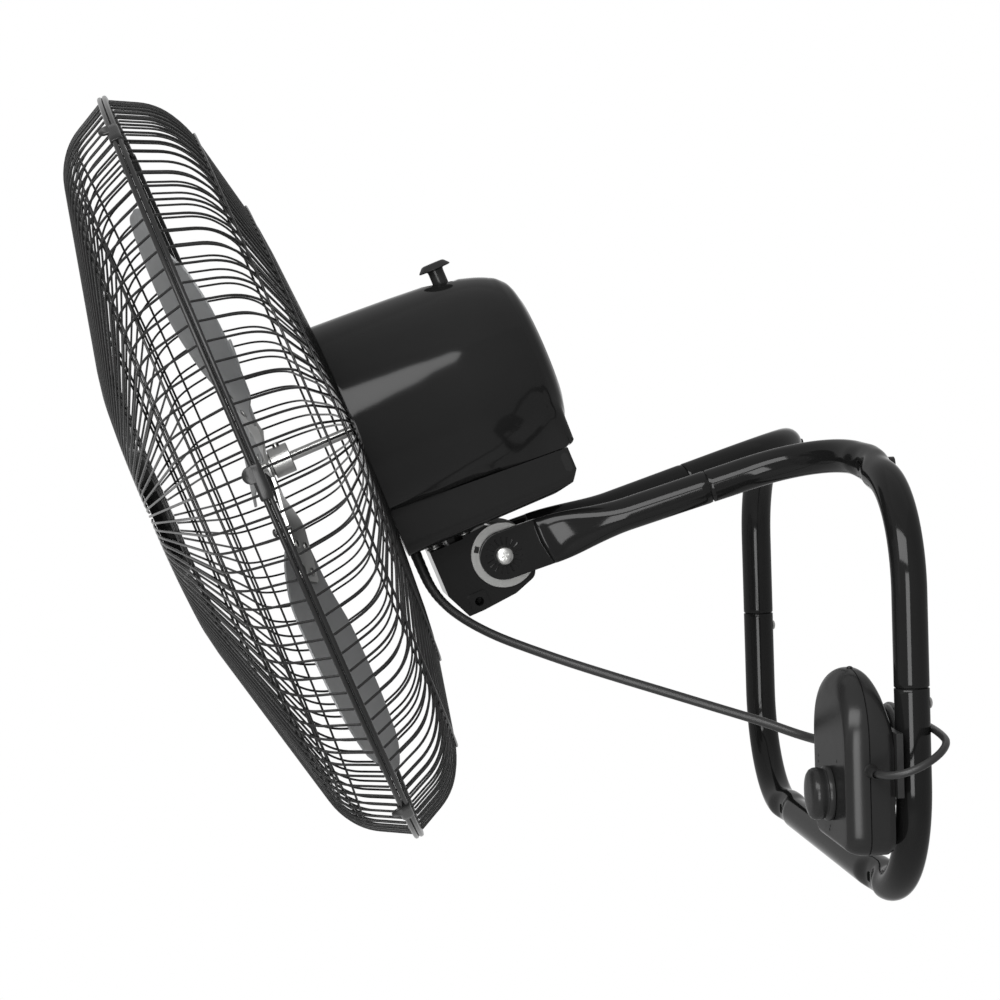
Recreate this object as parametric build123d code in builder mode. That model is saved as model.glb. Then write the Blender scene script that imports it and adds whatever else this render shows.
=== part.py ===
from build123d import *
from math import atan2, cos, degrees, hypot, pi, radians, sin, tan
import os

# Wall mounted fan. The origin is the centre of the four wall holes, on the wall plane Y = 0. The
# wall is behind the part, the fan blows towards -Y, and +Z is up. The bracket is drawn in that
# frame. The neck and the head are drawn upright in frames of their own, whose X is sideways, whose
# Y is up and whose Z points forward along the fan's axis, with the middle of the guard's rim at
# their origin. Those frames are then tilted and panned to where the fan stands.

# ---- Driving dimensions, in millimetres and degrees ----

# Fits
seat = 0.05  # between faces that rest on each other
bore_fit = 0.05  # radial, pins, bolts and shafts in their bores
running = 0.3  # between faces that move past each other

# Where the head stands
tilt = 21.0  # how far the fan looks down
pan = 1.8  # how far the fan looks to its left
pivot_forward = 316.5  # tilt pivot from the wall
pivot_height = 100.2  # tilt pivot above the wall holes' centre
pivot_back = 164.5  # tilt pivot behind the rim
pivot_drop = 152.0  # tilt pivot below the fan's axis
pan_back = 125.0  # pan axis behind the rim

# Wall loop and arms
tube_diameter = 29.0
tube_joint_gap = 0.8  # the fine groove at each tube joint
spigot_diameter = 24.0
spigot_length = 40.0
leg_spacing = 600.0
wall_gap = 7.5  # tube to wall
hole_spacing = 350.0  # wall holes, both ways
wall_hole_diameter = 9.0
corner_radius = 100.0  # lower bends
shoulder_radius = 90.0  # bends at the top of the legs
arm_bend_radius = 95.0  # bends from the top bars into the arms
bend_step = 15.0  # each bend is drawn in turns of about this much
bar_slope = 8.1  # the top bars rise towards the middle
arm_spacing = 144.0  # between the corners where the top bars turn into the arms
leg_joint_height = 2.5  # tube joint on each leg
arm_joint_distance = 120.7  # tube joint on each arm from its corner
press_height = 39.0  # the tube where it is pressed flat for a wall hole
press_depth = 16.8
press_length = 40.0
press_run = 14.0  # how fast the pressed stretch dies out in front
press_end = 7.0  # and above and below
press_taper = 40.0
press_proud = 0.3  # how far it stands out behind the tube
spacer_diameter = 18.0

# Flattened arm ends
arm_end_width = 43.0
arm_end_thickness = 6.4
arm_end_tip = 22.0  # tip beyond the pivot
arm_end_shoulder = 35.0  # where the flat ends, behind the pivot
arm_end_round = 115.0  # where the tube is round again
arm_flat_overlap = 2.0  # how far the flat runs into the shoulder
arm_sides = 20  # the flattening is drawn with this many sides
tilt_bolt_diameter = 8.0
tilt_head_diameter = 17.2
tilt_head_height = 5.0
detent_diameter = 58.0
detent_thickness = 2.0

# Neck
neck_width = 50.3
neck_top_front = -125.0  # height of the block's front edge in the upright frame
neck_outline = (  # forwards and up, from the front edge round the back
    (-105.5, neck_top_front), (-160.0, -121.5), (-191.0, -138.0), (-191.0, -165.0),
    (-183.0, -181.0), (-162.0, -188.0), (-130.0, -190.5), (-116.0, -190.5), (-105.5, -167.0),
)
neck_corner = 9.0
collar_diameter = 36.0
collar_seat_diameter = 56.0  # the level seat round the collar
collar_seat_cut = 10.0
spindle_diameter = 14.0
spindle_height = 20.0  # above the base cover's underside
spindle_depth = 30.0  # below the collar
spindle_end_gap = 0.5
neck_eye = (-129.0, -181.4)
neck_eye_size = 17.0
neck_eye_corner = 3.0
neck_eye_hole = 8.0

# Motor housing: front, middle and rear
motor_front = -85.0
motor_front_radius = 98.0
motor_back_outline = ((91.5, -199.0), (80.5, -243.0), (75.0, -255.0), (66.0, -263.0), (48.0, -268.0))
motor_back = -268.0
motor_wall = 4.0
seam_front = -74.0  # the flat underside, at the front and at the back
seam_back = -84.0
housing_margin = 20.0  # what is cut away reaches this much past the housing
skirt_width = 112.0
skirt_height = 60.0
skirt_back = -262.0
base_bottom = -118.0
base_front = -88.0
base_back = -252.0
base_corner = 12.0
base_toe = ((0.0, 14.0), (7.0, 4.0), (26.0, 0.0))  # forward of its rear, above its bottom
base_toe_inside = ((4.0, 16.0), (28.0, 4.0))
boss_size = 34.0  # where the spindle is held
boss_height = 24.0

bearing_outside = 26.0
bearing_width = 8.0
gearbox_width = 70.0
gearbox_height = 72.0
gearbox_depth = 36.0
gearbox_corner = 8.0
stator_back = -190.0
stator_length = 50.0
stator_radius = 73.0
stator_sides = 12
cavity_back = -240.0
shield_thickness = 4.0
rotor_core_diameter = 80.0
motor_cord_back = -95.0  # where the motor cord leaves the base cover

# Oscillation knob
knob_back = -209.0  # behind the rim
knob_stem_diameter = 14.0
knob_cap_diameter = 29.0
knob_cap_bottom = 102.0
knob_cap_height = 6.0
knob_stem_foot = 62.0
knob_pocket_length = 40.0
knob_pocket_width = 30.0
knob_pocket_floor = 86.0
knob_pocket_cut = 30.0

# Guards
guard_radius = 350.0
rim_wire = 4.3
rim_half_gap = 0.05
rim_sides = 60
ring_wire = 2.2
ring_sides = 40
wire_size = 2.4  # across the three sides of a radial wire
wire_back_depth = 1.35  # from a wire's middle to its flat side, along the axis
wire_count = 120
wire_phase = 0.76
front_run = (  # a front wire's corners: from the fan's axis, forward of the rim
    (62.0, 103.0), (118.0, 101.2), (guard_radius - 44.0, 55.3), (guard_radius - 23.0, 40.0),
    (guard_radius - 4.0, 4.6),
)
rear_run = (
    (101.0, -86.7), (196.0, -80.2), (guard_radius - 50.0, -57.6), (guard_radius - 22.0, -40.5),
    (guard_radius - 4.0, -4.6),
)
front_ring_radii = (187.0, 197.0, guard_radius - 55.0, guard_radius - 47.0, guard_radius - 28.0)
rear_ring_radii = (217.0, guard_radius - 58.0)
clip_count = 6
clip_length = 34.0
clip_reach = 6.0
clip_wall = 2.0
clip_ear_width = 14.0
clip_ear_height = 10.0
clip_ear_shift = 8.3
guard_plate_radius = 106.0
guard_plate_thickness = 1.5
guard_plate_bore = 64.0
disc_radius = 80.0
disc_dish_radius = 56.0
disc_dish_wall = 6.0  # sideways reach of the dish's sloped wall
disc_thickness = 1.0
disc_dish_depth = 11.0

# Rotor
shaft_diameter = 9.0
shaft_front = 5.0
shaft_back = -236.0
hub_diameter = 27.0
hub_front = -9.5
hub_back = -28.0
hub_nose_diameter = 20.0
spider_back = -7.0
spider_hub_radius = 22.0
spider_thickness = 2.5
spider_arm_width = 34.0
spider_bend_start = 16.0
spider_reach = 112.0
blade_count = 3
blade_thickness = 1.6
blade_strips = 2  # a blade's hollow is drawn in this many strips
blade_camber = 0.03  # hollow, as a share of a section's width
blade_first = 40.0  # angle of the first blade from the top, towards +X
root_slope = -0.33  # of a blade's flat root, across it
root_lift = 0.1256  # and along it
root_start = 60.0
root_level = -4.75
root_camber = 0.3
root_sections = ((66.0, -17.0, 17.0), (105.0, -44.0, 38.0))  # reach, front edge, back edge
blade_sections = (  # reach, front edge, back edge
    (150.0, (-68.0, 22.0), (66.0, -17.0)),
    (200.0, (-78.0, 21.0), (76.0, -18.0)),
    (250.0, (-71.0, 18.0), (67.0, -16.0)),
    (282.0, (-46.0, 12.0), (42.0, -9.0)),
    (297.0, (-14.0, 4.0), (14.0, 0.0)),
)

# Control box
box_centre_x = 257.5
box_width = 125.0
box_top = 15.0
box_bottom = -132.0
box_corner = 18.0
box_front = -81.6
box_seam = -62.6
box_wall = 2.4
box_back = -42.0
box_edge = 6.0
box_edge_slope = 40.0
plate_left = 262.0
plate_right = 325.0
plate_top = -31.0
plate_bottom = -83.0
speed_knob_x = 260.0
speed_knob_z = -86.7
speed_knob_diameter = 44.7
speed_knob_height = 17.0
speed_flange = 4.0
speed_grip_diameter = 36.0
switch_size = 26.0
switch_corner = 3.0
switch_depth = 12.0
mains_gland_z = -60.5
motor_gland_z = -58.0
switch_shaft = 6.0

# Cords
motor_cord_diameter = 8.0
cord_gland_diameter = 12.0
box_gland_diameter = 11.0
gland_depth = 4.0
gland_proud = 1.8
cord_sides = 6
cord_swell = 1.05  # corners of the cord's section over its round size
coil_centre_x = 216.0
coil_centre_z = -64.5
coil_start_y = -5.4
coil_inner_radius = 31.8
coil_outer_radius = 39.2
coil_pitch = 7.2
coil_inner_turns = 4.0
coil_step = 0.25  # turns in which the coil climbs to its outer layer
coil_outer_turns = 2.75
tie_width = 6.0
tie_thickness = 1.0
tie_slack = 0.4
plug_pin_spacing = 19.0
plug_pin_diameter = 4.0
plug_pin_length = 19.0
plug_neck_size = 11.0
plug_neck_length = 14.0
plug_shoulder_width = 22.0
plug_shoulder_depth = 14.0
plug_width = 26.0
plug_depth = 16.0
plug_body_length = 16.0
plug_corner = 4.0
mains_cord_diameter = 6.4

os.makedirs("parts", exist_ok=True)


# ---- Frames ----

pivot = Vector(0, -pivot_forward, pivot_height)
fan_forward = Vector(0, -cos(radians(tilt)), -sin(radians(tilt)))
fan_up = Vector(0, -sin(radians(tilt)), cos(radians(tilt)))
neck_frame = Plane(
    pivot + fan_up * pivot_drop + fan_forward * pivot_back, x_dir=(1, 0, 0), z_dir=fan_forward
)
head_frame = Plane(
    neck_frame.location * Pos(0, 0, -pan_back) * Rot(0, -pan, 0) * Pos(0, 0, pan_back)
)
bracket_frame = Plane.XY


def save(piece, name, frame=bracket_frame):
    """Moves a piece drawn in its own frame to where it stands, labels it and writes it."""
    placed = piece.part.moved(frame.location)
    placed.label = name
    export_step(placed, f"parts/{name}.step")


def crossways(y):
    """A plane across the bracket's Y axis that looks forward, with X sideways and Z up."""
    return Plane.XZ.offset(-y)


def gland_plane(side, height):
    """The side wall of the control box where a cord passes, looking out."""
    return Plane((box_centre_x + side * box_width / 2, box_seam, height), z_dir=(side, 0, 0))


def gland_bore(side, height):
    with BuildPart() as bore:
        with BuildSketch(gland_plane(side, height).offset(-3 * box_wall)):
            Circle(box_gland_diameter / 2 + bore_fit)
        extrude(amount=6 * box_wall)
    return bore.part


# ---- Bracket: tubes ----

tube_y = -(wall_gap + tube_diameter / 2)
leg_x = leg_spacing / 2
hole_x = hole_spacing / 2
hole_z = hole_spacing / 2
rise = tan(radians(bar_slope))
shoulder_corner = Vector(leg_x, tube_y, hole_z - (leg_x - hole_x) * rise)
arm_corner = Vector(arm_spacing / 2, tube_y, hole_z + (hole_x - arm_spacing / 2) * rise)
disc_inside = neck_width / 2 + seat
arm_inside = disc_inside + detent_thickness + seat
arm_end = Vector(arm_inside + arm_end_thickness / 2, -pivot_forward, pivot_height)
arm_direction = (arm_end - arm_corner).normalized()
arm_joint = arm_corner + arm_direction * arm_joint_distance
leg_joint = Vector(leg_x, tube_y, leg_joint_height)
half_groove = tube_joint_gap / 2
pad_back = tube_y + tube_diameter / 2 + press_proud
pad_middle = pad_back - press_depth / 2
die_front = pad_back - press_depth + press_proud


def bent_route(points, radii):
    """The route of a bent tube: its corners rounded to their radii in short equal steps."""
    route = [points[0]]
    for before, corner, after, radius in zip(points, points[1:], points[2:], radii):
        first = (corner - before).normalized()
        second = (after - corner).normalized()
        turn = radians(first.get_angle(second))
        steps = round(degrees(turn) / bend_step)
        reach = radius * tan(turn / 2)
        start = corner - first * reach
        inward = (second - first * cos(turn)).normalized()
        step = turn / steps
        for k in range(steps):
            angle = (k + 0.5) * step
            swing = radius / cos(step / 2)
            route.append(start + inward * (radius - swing * cos(angle)) + first * swing * sin(angle))
    return route + [points[-1]]


def press_pad(x, z, slope):
    """The tube round one wall hole, where it is pressed flat from front to back and swells."""
    along = Vector(cos(radians(slope)), 0, -sin(radians(slope)))

    def across(distance, y):
        return Plane(Vector(x, y, z) + along * distance, x_dir=(0, 1, 0), z_dir=along)

    with BuildPart() as pad:
        for side in (-1, 1):
            with BuildSketch(across(0, pad_middle)):
                RectangleRounded(press_depth, press_height, press_depth / 2 - seat)
            extrude(amount=side * press_length / 2)
            with BuildSketch(across(side * press_length / 2, pad_middle)):
                RectangleRounded(press_depth, press_height, press_depth / 2 - seat)
            extrude(amount=side * press_end, taper=press_taper)
    return pad.part


def press_die(x, z, slope):
    """What the press takes away in front of the tube round one wall hole."""
    along = Vector(cos(radians(slope)), 0, -sin(radians(slope)))
    ends = press_length / 2 + press_run
    front = tube_y - tube_diameter / 2
    with BuildPart() as die:
        with BuildSketch(Plane((x, 0, z), x_dir=along, z_dir=(along.Z * -1, 0, along.X))):
            with BuildLine():
                Polyline(
                    (-ends, front), (-press_length / 2, die_front), (press_length / 2, die_front),
                    (ends, front), (ends, front - tube_diameter), (-ends, front - tube_diameter),
                    close=True,
                )
            make_face()
        extrude(amount=tube_diameter, both=True)
    return die.part


def wall_hole(x, z):
    with BuildPart() as hole:
        with BuildSketch(crossways(0)):
            with Locations((x, z)):
                Circle(wall_hole_diameter / 2)
        extrude(amount=2 * tube_diameter)
    return hole.part


def joint_bore(at, direction):
    """The bore that takes a spigot, from the face of a tube joint."""
    with BuildPart() as bore:
        with BuildSketch(Plane(at, z_dir=direction)):
            Circle(spigot_diameter / 2 + bore_fit)
        extrude(amount=spigot_length + half_groove)
    return bore.part


down = Vector(0, 0, -1)


def flip(point):
    return Vector(-point.X, point.Y, point.Z)


with BuildPart() as wall_loop:
    loop_top = leg_joint + down * half_groove
    with BuildLine() as loop_route:
        loop_foot = Vector(leg_x, tube_y, -hole_z)
        loop_corners = (flip(loop_top), flip(loop_foot), loop_foot, loop_top)
        Polyline(*bent_route(loop_corners, (corner_radius, corner_radius)))
    with BuildSketch(Plane(flip(loop_top), z_dir=(0, 0, -1))):
        Circle(tube_diameter / 2)
    sweep(path=loop_route.wire(), transition=Transition.RIGHT)
    for side in (-1, 1):
        add(press_die(side * hole_x, -hole_z, 0), mode=Mode.SUBTRACT)
        add(press_pad(side * hole_x, -hole_z, 0))
        add(wall_hole(side * hole_x, -hole_z), mode=Mode.SUBTRACT)
    for top in (loop_top, flip(loop_top)):
        add(joint_bore(top, down), mode=Mode.SUBTRACT)
save(wall_loop, "wall_loop")

with BuildPart() as upper_bend_right:
    bend_foot = leg_joint - down * half_groove
    bend_end = arm_joint - arm_direction * half_groove
    with BuildLine() as bend_route:
        bend_corners = (bend_foot, shoulder_corner, arm_corner, bend_end)
        Polyline(*bent_route(bend_corners, (shoulder_radius, arm_bend_radius)))
    with BuildSketch(Plane(bend_foot, z_dir=(0, 0, 1))):
        Circle(tube_diameter / 2)
    sweep(path=bend_route.wire(), transition=Transition.RIGHT)
    add(press_die(hole_x, hole_z, bar_slope), mode=Mode.SUBTRACT)
    add(press_pad(hole_x, hole_z, bar_slope))
    add(wall_hole(hole_x, hole_z), mode=Mode.SUBTRACT)
    for start, direction in ((bend_foot, down), (bend_end, arm_direction)):
        with BuildSketch(Plane(start, z_dir=direction)):
            Circle(spigot_diameter / 2)
        extrude(amount=spigot_length)
save(upper_bend_right, "upper_bend_right")

with BuildPart() as upper_bend_left:
    mirror(upper_bend_right.part, about=Plane.YZ)
save(upper_bend_left, "upper_bend_left")

arm_rise = atan2(arm_corner.Z - arm_end.Z, arm_corner.Y - arm_end.Y)
end_back = Vector(0, cos(arm_rise), sin(arm_rise))
end_up = Vector(0, -sin(arm_rise), cos(arm_rise))
end_plane = Plane((arm_inside, arm_end.Y, arm_end.Z), x_dir=end_back, z_dir=(1, 0, 0))
arm_shoulder_thickness = 2 * arm_end_thickness


def oval_points(width, thickness):
    """An oval's outline in straight sides."""
    turns = [2 * pi * k / arm_sides for k in range(arm_sides)]
    return [(width / 2 * cos(turn), thickness / 2 * sin(turn)) for turn in turns]


with BuildPart() as arm_right:
    arm_start = arm_joint + arm_direction * half_groove
    round_start = arm_end - arm_direction * arm_end_round
    with BuildSketch(Plane(round_start, z_dir=arm_direction * -1)):
        Circle(tube_diameter / 2)
    extrude(amount=(round_start - arm_start).length)
    shoulder = Vector(arm_inside + arm_shoulder_thickness / 2, arm_end.Y, arm_end.Z)
    flat_plane = Plane(shoulder + end_back * arm_end_shoulder, x_dir=end_up, z_dir=end_back)
    round_plane = Plane(round_start, x_dir=end_up, z_dir=arm_direction * -1)
    for plane, width, thickness in (
        (flat_plane, arm_end_width, arm_shoulder_thickness),
        (round_plane, tube_diameter - seat, tube_diameter - seat),
    ):
        with BuildSketch(plane):
            with BuildLine():
                Polyline(*oval_points(width, thickness), close=True)
            make_face()
    loft(ruled=True)
    with BuildSketch(end_plane):
        with Locations((arm_end_width / 2 - arm_end_tip, 0)):
            Circle(arm_end_width / 2)
        with Locations((arm_end_width / 2 - arm_end_tip, 0)):
            Rectangle(
                arm_end_shoulder + arm_flat_overlap, arm_end_width, align=(Align.MIN, Align.CENTER)
            )
    extrude(amount=arm_end_thickness)
    with BuildSketch(end_plane):
        Circle(tilt_bolt_diameter / 2 + bore_fit)
    extrude(amount=arm_end_thickness, mode=Mode.SUBTRACT)
    add(joint_bore(arm_start, arm_direction), mode=Mode.SUBTRACT)
save(arm_right, "arm_right")

with BuildPart() as arm_left:
    mirror(arm_right.part, about=Plane.YZ)
save(arm_left, "arm_left")

with BuildPart() as wall_spacers:
    with BuildSketch(crossways(0)):
        with Locations((-hole_x, hole_z), (hole_x, hole_z), (-hole_x, -hole_z), (hole_x, -hole_z)):
            Circle(spacer_diameter / 2)
            Circle(wall_hole_diameter / 2, mode=Mode.SUBTRACT)
    extrude(amount=-pad_back - seat)
save(wall_spacers, "wall_spacers")

# ---- Bracket: tilt pivot ----

pivot_plane = Plane(pivot, x_dir=(0, 1, 0), z_dir=(1, 0, 0))
arm_outside = arm_inside + arm_end_thickness

for side, name in ((1, "detent_disc_right"), (-1, "detent_disc_left")):
    with BuildPart() as detent_disc:
        with BuildSketch(pivot_plane.offset(side * disc_inside)):
            Circle(detent_diameter / 2)
            Circle(tilt_bolt_diameter / 2 + bore_fit, mode=Mode.SUBTRACT)
        extrude(amount=side * detent_thickness)
    save(detent_disc, name)

with BuildPart() as tilt_bolt:
    with BuildSketch(pivot_plane.offset(-arm_outside - tilt_head_height)):
        Circle(tilt_bolt_diameter / 2)
    extrude(amount=2 * arm_outside + tilt_head_height + seat)
    with BuildSketch(pivot_plane.offset(arm_outside + seat)):
        Circle(tilt_head_diameter / 2)
    extrude(amount=tilt_head_height)
    chamfer(tilt_bolt.edges().group_by(Axis.X)[-1], tilt_head_height / 3)
save(tilt_bolt, "tilt_bolt")

with BuildPart() as tilt_nut:
    with BuildSketch(pivot_plane.offset(-arm_outside - seat)):
        RegularPolygon(tilt_head_diameter / 2, 6)
        Circle(tilt_bolt_diameter / 2 + bore_fit, mode=Mode.SUBTRACT)
    extrude(amount=-tilt_head_height)
save(tilt_nut, "tilt_nut")

# ---- Neck, in its upright frame ----

side_plane = Plane((0, 0, 0), x_dir=(0, 0, 1), z_dir=(-1, 0, 0))


def level(y):
    """A level plane in an upright frame. It looks down, with X sideways and Y forwards."""
    return Plane.XZ.offset(-y)


with BuildPart() as neck_block:
    with BuildSketch(side_plane) as neck_side:
        with BuildLine():
            Polyline(*neck_outline, close=True)
        make_face()
        fillet(neck_side.vertices().sort_by(Axis.X)[:3], neck_corner)
    extrude(amount=neck_width / 2, both=True)
    with BuildSketch(side_plane):
        with Locations(neck_eye):
            RectangleRounded(neck_eye_size, neck_eye_size, neck_eye_corner)
    extrude(amount=neck_width / 2 + detent_thickness, both=True)
    with BuildSketch(side_plane):
        with Locations(neck_eye):
            Circle(neck_eye_hole / 2)
        with Locations((-pivot_back, -pivot_drop)):
            Circle(tilt_bolt_diameter / 2 + bore_fit)
    extrude(amount=neck_width, both=True, mode=Mode.SUBTRACT)
    with BuildSketch(level(neck_top_front)):
        with Locations((0, -pan_back)):
            Circle(collar_seat_diameter / 2)
    extrude(amount=-collar_seat_cut, mode=Mode.SUBTRACT)
    with BuildSketch(level(neck_top_front)):
        with Locations((0, -pan_back)):
            Circle(spindle_diameter / 2 + bore_fit)
    extrude(amount=spindle_depth, mode=Mode.SUBTRACT)
save(neck_block, "neck_block", neck_frame)

with BuildPart() as pan_collar:
    with BuildSketch(level(neck_top_front + seat)):
        with Locations((0, -pan_back)):
            Circle(collar_diameter / 2)
            Circle(spindle_diameter / 2 + bore_fit, mode=Mode.SUBTRACT)
    extrude(amount=-(base_bottom - running - neck_top_front - seat))
save(pan_collar, "pan_collar", neck_frame)

with BuildPart() as pan_spindle:
    with BuildSketch(level(neck_top_front - spindle_depth + seat)):
        with Locations((0, -pan_back)):
            Circle(spindle_diameter / 2)
    extrude(amount=-(base_bottom + spindle_height - neck_top_front + spindle_depth))
save(pan_spindle, "pan_spindle", neck_frame)

# ---- Head: motor housing, in the head's upright frame ----

seam_drop = (seam_front - seam_back) / (motor_front - motor_back)


def seam_height(forward):
    return seam_front + (forward - motor_front) * seam_drop


def below_seam(gap):
    """Everything under the slanted seam between the housing and its base cover."""
    with BuildPart() as block:
        with BuildSketch(side_plane):
            with BuildLine():
                front, back = motor_front + housing_margin, motor_back - housing_margin
                foot = base_bottom - housing_margin
                Polyline(
                    (front, seam_height(front) + gap), (back, seam_height(back) + gap),
                    (back, foot), (front, foot), close=True,
                )
            make_face()
        extrude(amount=motor_front_radius * 2, both=True)
    return block.part


with BuildPart() as motor_shell:
    with BuildSketch(Plane.XZ):
        with BuildLine():
            Polyline((0, motor_back), (0, motor_front), (motor_front_radius, motor_front),
                     *motor_back_outline, close=True)
        make_face()
    revolve(axis=Axis.Z)
    with BuildSketch(Plane.XY.offset(motor_front)):
        with Locations((0, seam_front)):
            Rectangle(skirt_width, skirt_height)
    extrude(amount=-(motor_front - skirt_back))
    add(below_seam(0), mode=Mode.SUBTRACT)
    with BuildSketch(Plane.XY.offset(motor_front)):
        Circle(stator_radius + seat)
    extrude(amount=-(motor_front - cavity_back), mode=Mode.SUBTRACT)
    with BuildSketch(level(knob_pocket_floor)):
        with Locations((0, knob_back)):
            SlotOverall(knob_pocket_length, knob_pocket_width, rotation=90)
    extrude(amount=-knob_pocket_cut, mode=Mode.SUBTRACT)
    with BuildSketch(level(knob_pocket_floor)):
        with Locations((0, knob_back)):
            Circle(knob_stem_diameter / 2 + running)
    extrude(amount=knob_pocket_floor - knob_stem_foot, mode=Mode.SUBTRACT)
save(motor_shell, "motor_shell", head_frame)

with BuildPart() as base_cover:
    with BuildSketch(side_plane) as base_outline:
        with BuildLine():
            Polyline(
                (base_front, seam_front), (base_back, seam_back),
                *[(base_back + ahead, base_bottom + up) for ahead, up in base_toe],
                (base_front, base_bottom), close=True,
            )
        make_face()
    extrude(amount=skirt_width / 2, both=True)
    fillet(base_cover.edges().filter_by(Axis.Z).group_by(Axis.Y)[0], base_corner)
    with BuildSketch(side_plane):
        with BuildLine():
            Polyline(
                (base_front - motor_wall, 0), (base_back + motor_wall, 0),
                *[(base_back + ahead, base_bottom + up) for ahead, up in base_toe_inside],
                (base_front - motor_wall, base_bottom + motor_wall), close=True,
            )
        make_face()
    extrude(amount=skirt_width / 2 - motor_wall, both=True, mode=Mode.SUBTRACT)
    with BuildSketch(level(base_bottom + motor_wall / 2)):
        with Locations((0, -pan_back)):
            Rectangle(boss_size, boss_size)
    extrude(amount=-boss_height)
    with BuildSketch(level(base_bottom)):
        with Locations((0, -pan_back)):
            Circle(spindle_diameter / 2 + bore_fit)
    extrude(amount=-spindle_height - spindle_end_gap, mode=Mode.SUBTRACT)
    with BuildSketch(level(base_bottom)):
        with Locations((0, motor_cord_back)):
            Circle(cord_gland_diameter / 2 + bore_fit)
    extrude(amount=-motor_wall, mode=Mode.SUBTRACT)
    add(below_seam(-seat), mode=Mode.INTERSECT)
save(base_cover, "base_cover", head_frame)

with BuildPart() as front_shield:
    with BuildSketch(Plane.XY.offset(motor_front)):
        Circle(stator_radius)
        Circle(bearing_outside / 2 + bore_fit, mode=Mode.SUBTRACT)
    extrude(amount=-shield_thickness)
    with BuildSketch(Plane.XY.offset(motor_front - shield_thickness)):
        Circle(bearing_outside / 2 + shield_thickness)
        Circle(bearing_outside / 2 + bore_fit, mode=Mode.SUBTRACT)
    extrude(amount=-bearing_width)
save(front_shield, "front_shield", head_frame)

with BuildPart() as gearbox_case:
    with BuildSketch(Plane.XY.offset(cavity_back + seat)):
        RectangleRounded(gearbox_width, gearbox_height, gearbox_corner)
        Circle(bearing_outside / 2 + bore_fit, mode=Mode.SUBTRACT)
    extrude(amount=gearbox_depth)
save(gearbox_case, "gearbox_case", head_frame)

with BuildPart() as bearings:
    for face in (motor_front - shield_thickness, cavity_back + gearbox_depth):
        with BuildSketch(Plane.XY.offset(face)):
            Circle(bearing_outside / 2)
            Circle(shaft_diameter / 2 + bore_fit, mode=Mode.SUBTRACT)
        extrude(amount=-bearing_width)
save(bearings, "bearings", head_frame)

with BuildPart() as stator_core:
    with BuildSketch(Plane.XY.offset(stator_back)):
        RegularPolygon(stator_radius, stator_sides)
        Circle(rotor_core_diameter / 2 + running, mode=Mode.SUBTRACT)
    extrude(amount=stator_length)
save(stator_core, "stator_core", head_frame)

with BuildPart() as oscillation_knob:
    with BuildSketch(level(knob_stem_foot)):
        with Locations((0, knob_back)):
            Circle(knob_stem_diameter / 2)
    extrude(amount=-(knob_cap_bottom - knob_stem_foot))
    with BuildSketch(level(knob_cap_bottom)):
        with Locations((0, knob_back)):
            Circle(knob_cap_diameter / 2)
    extrude(amount=-knob_cap_height)
    chamfer(oscillation_knob.edges().group_by(Axis.Y)[-1], 2 * knob_cap_height / 3, knob_cap_height)
save(oscillation_knob, "oscillation_knob", head_frame)

# ---- Head: guards ----

hairpin_phase = 180 / wire_count - wire_phase
wire_radius = wire_size / 2 / sin(radians(60))


def wire_point(place, angle):
    radius, along = place
    return Vector(radius * cos(angle), radius * sin(angle), along)


def run_wire(points, up):
    """One wire of three flat sides along its points, its flat side down."""
    with BuildPart() as wire:
        with BuildLine() as route:
            Polyline(*points)
        with BuildSketch(Plane(points[0], x_dir=up, z_dir=points[1] - points[0])):
            RegularPolygon(wire_radius, 3)
        sweep(path=route.wire(), transition=Transition.RIGHT)
    return wire.part


half_pitch = pi / wire_count
hairpin_points = [wire_point(place, -half_pitch) for place in reversed(front_run)]
hairpin_points += [wire_point(place, half_pitch) for place in front_run]
hairpin = run_wire(hairpin_points, Vector(0, 0, 1))

with BuildPart() as front_guard_wires:
    turns = [2 * k * 360 / wire_count + hairpin_phase for k in range(wire_count // 2)]
    add([hairpin.rotate(Axis.Z, turn) for turn in turns])
save(front_guard_wires, "front_guard_wires", head_frame)

rear_wire = run_wire([wire_point(place, 0) for place in rear_run], Vector(0, 1, 0))

with BuildPart() as rear_guard_wires:
    add([rear_wire.rotate(Axis.Z, k * 360 / wire_count - wire_phase) for k in range(wire_count)])
save(rear_guard_wires, "rear_guard_wires", head_frame)


def height_at(run, radius):
    """Where a wire's middle is along the fan's axis, at a distance from that axis."""
    for (near, near_s), (far, far_s) in zip(run, run[1:]):
        if near <= radius <= far:
            return near_s + (far_s - near_s) * (radius - near) / (far - near)
    return run[-1][1]


def ring(radius, top):
    """A ring of the guard in straight sides, its front face at a place along the axis."""
    with BuildPart() as hoop:
        with BuildSketch(Plane.XY.offset(top)):
            RegularPolygon(radius + ring_wire / 2, ring_sides)
            RegularPolygon(radius - ring_wire / 2, ring_sides, mode=Mode.SUBTRACT)
        extrude(amount=-ring_wire)
    return hoop.part


def ring_top(run, radius):
    inside, outside = radius - ring_wire / 2, radius + ring_wire / 2
    lowest = min(height_at(run, r) for r in (inside * cos(pi / ring_sides), radius, outside))
    return lowest - wire_back_depth - seat


with BuildPart() as front_guard_rings:
    for radius in front_ring_radii:
        add(ring(radius, ring_top(front_run, radius)))
save(front_guard_rings, "front_guard_rings", head_frame)

with BuildPart() as rear_guard_rings:
    for radius in rear_ring_radii:
        add(ring(radius, ring_top(rear_run, radius)))
save(rear_guard_rings, "rear_guard_rings", head_frame)

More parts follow.
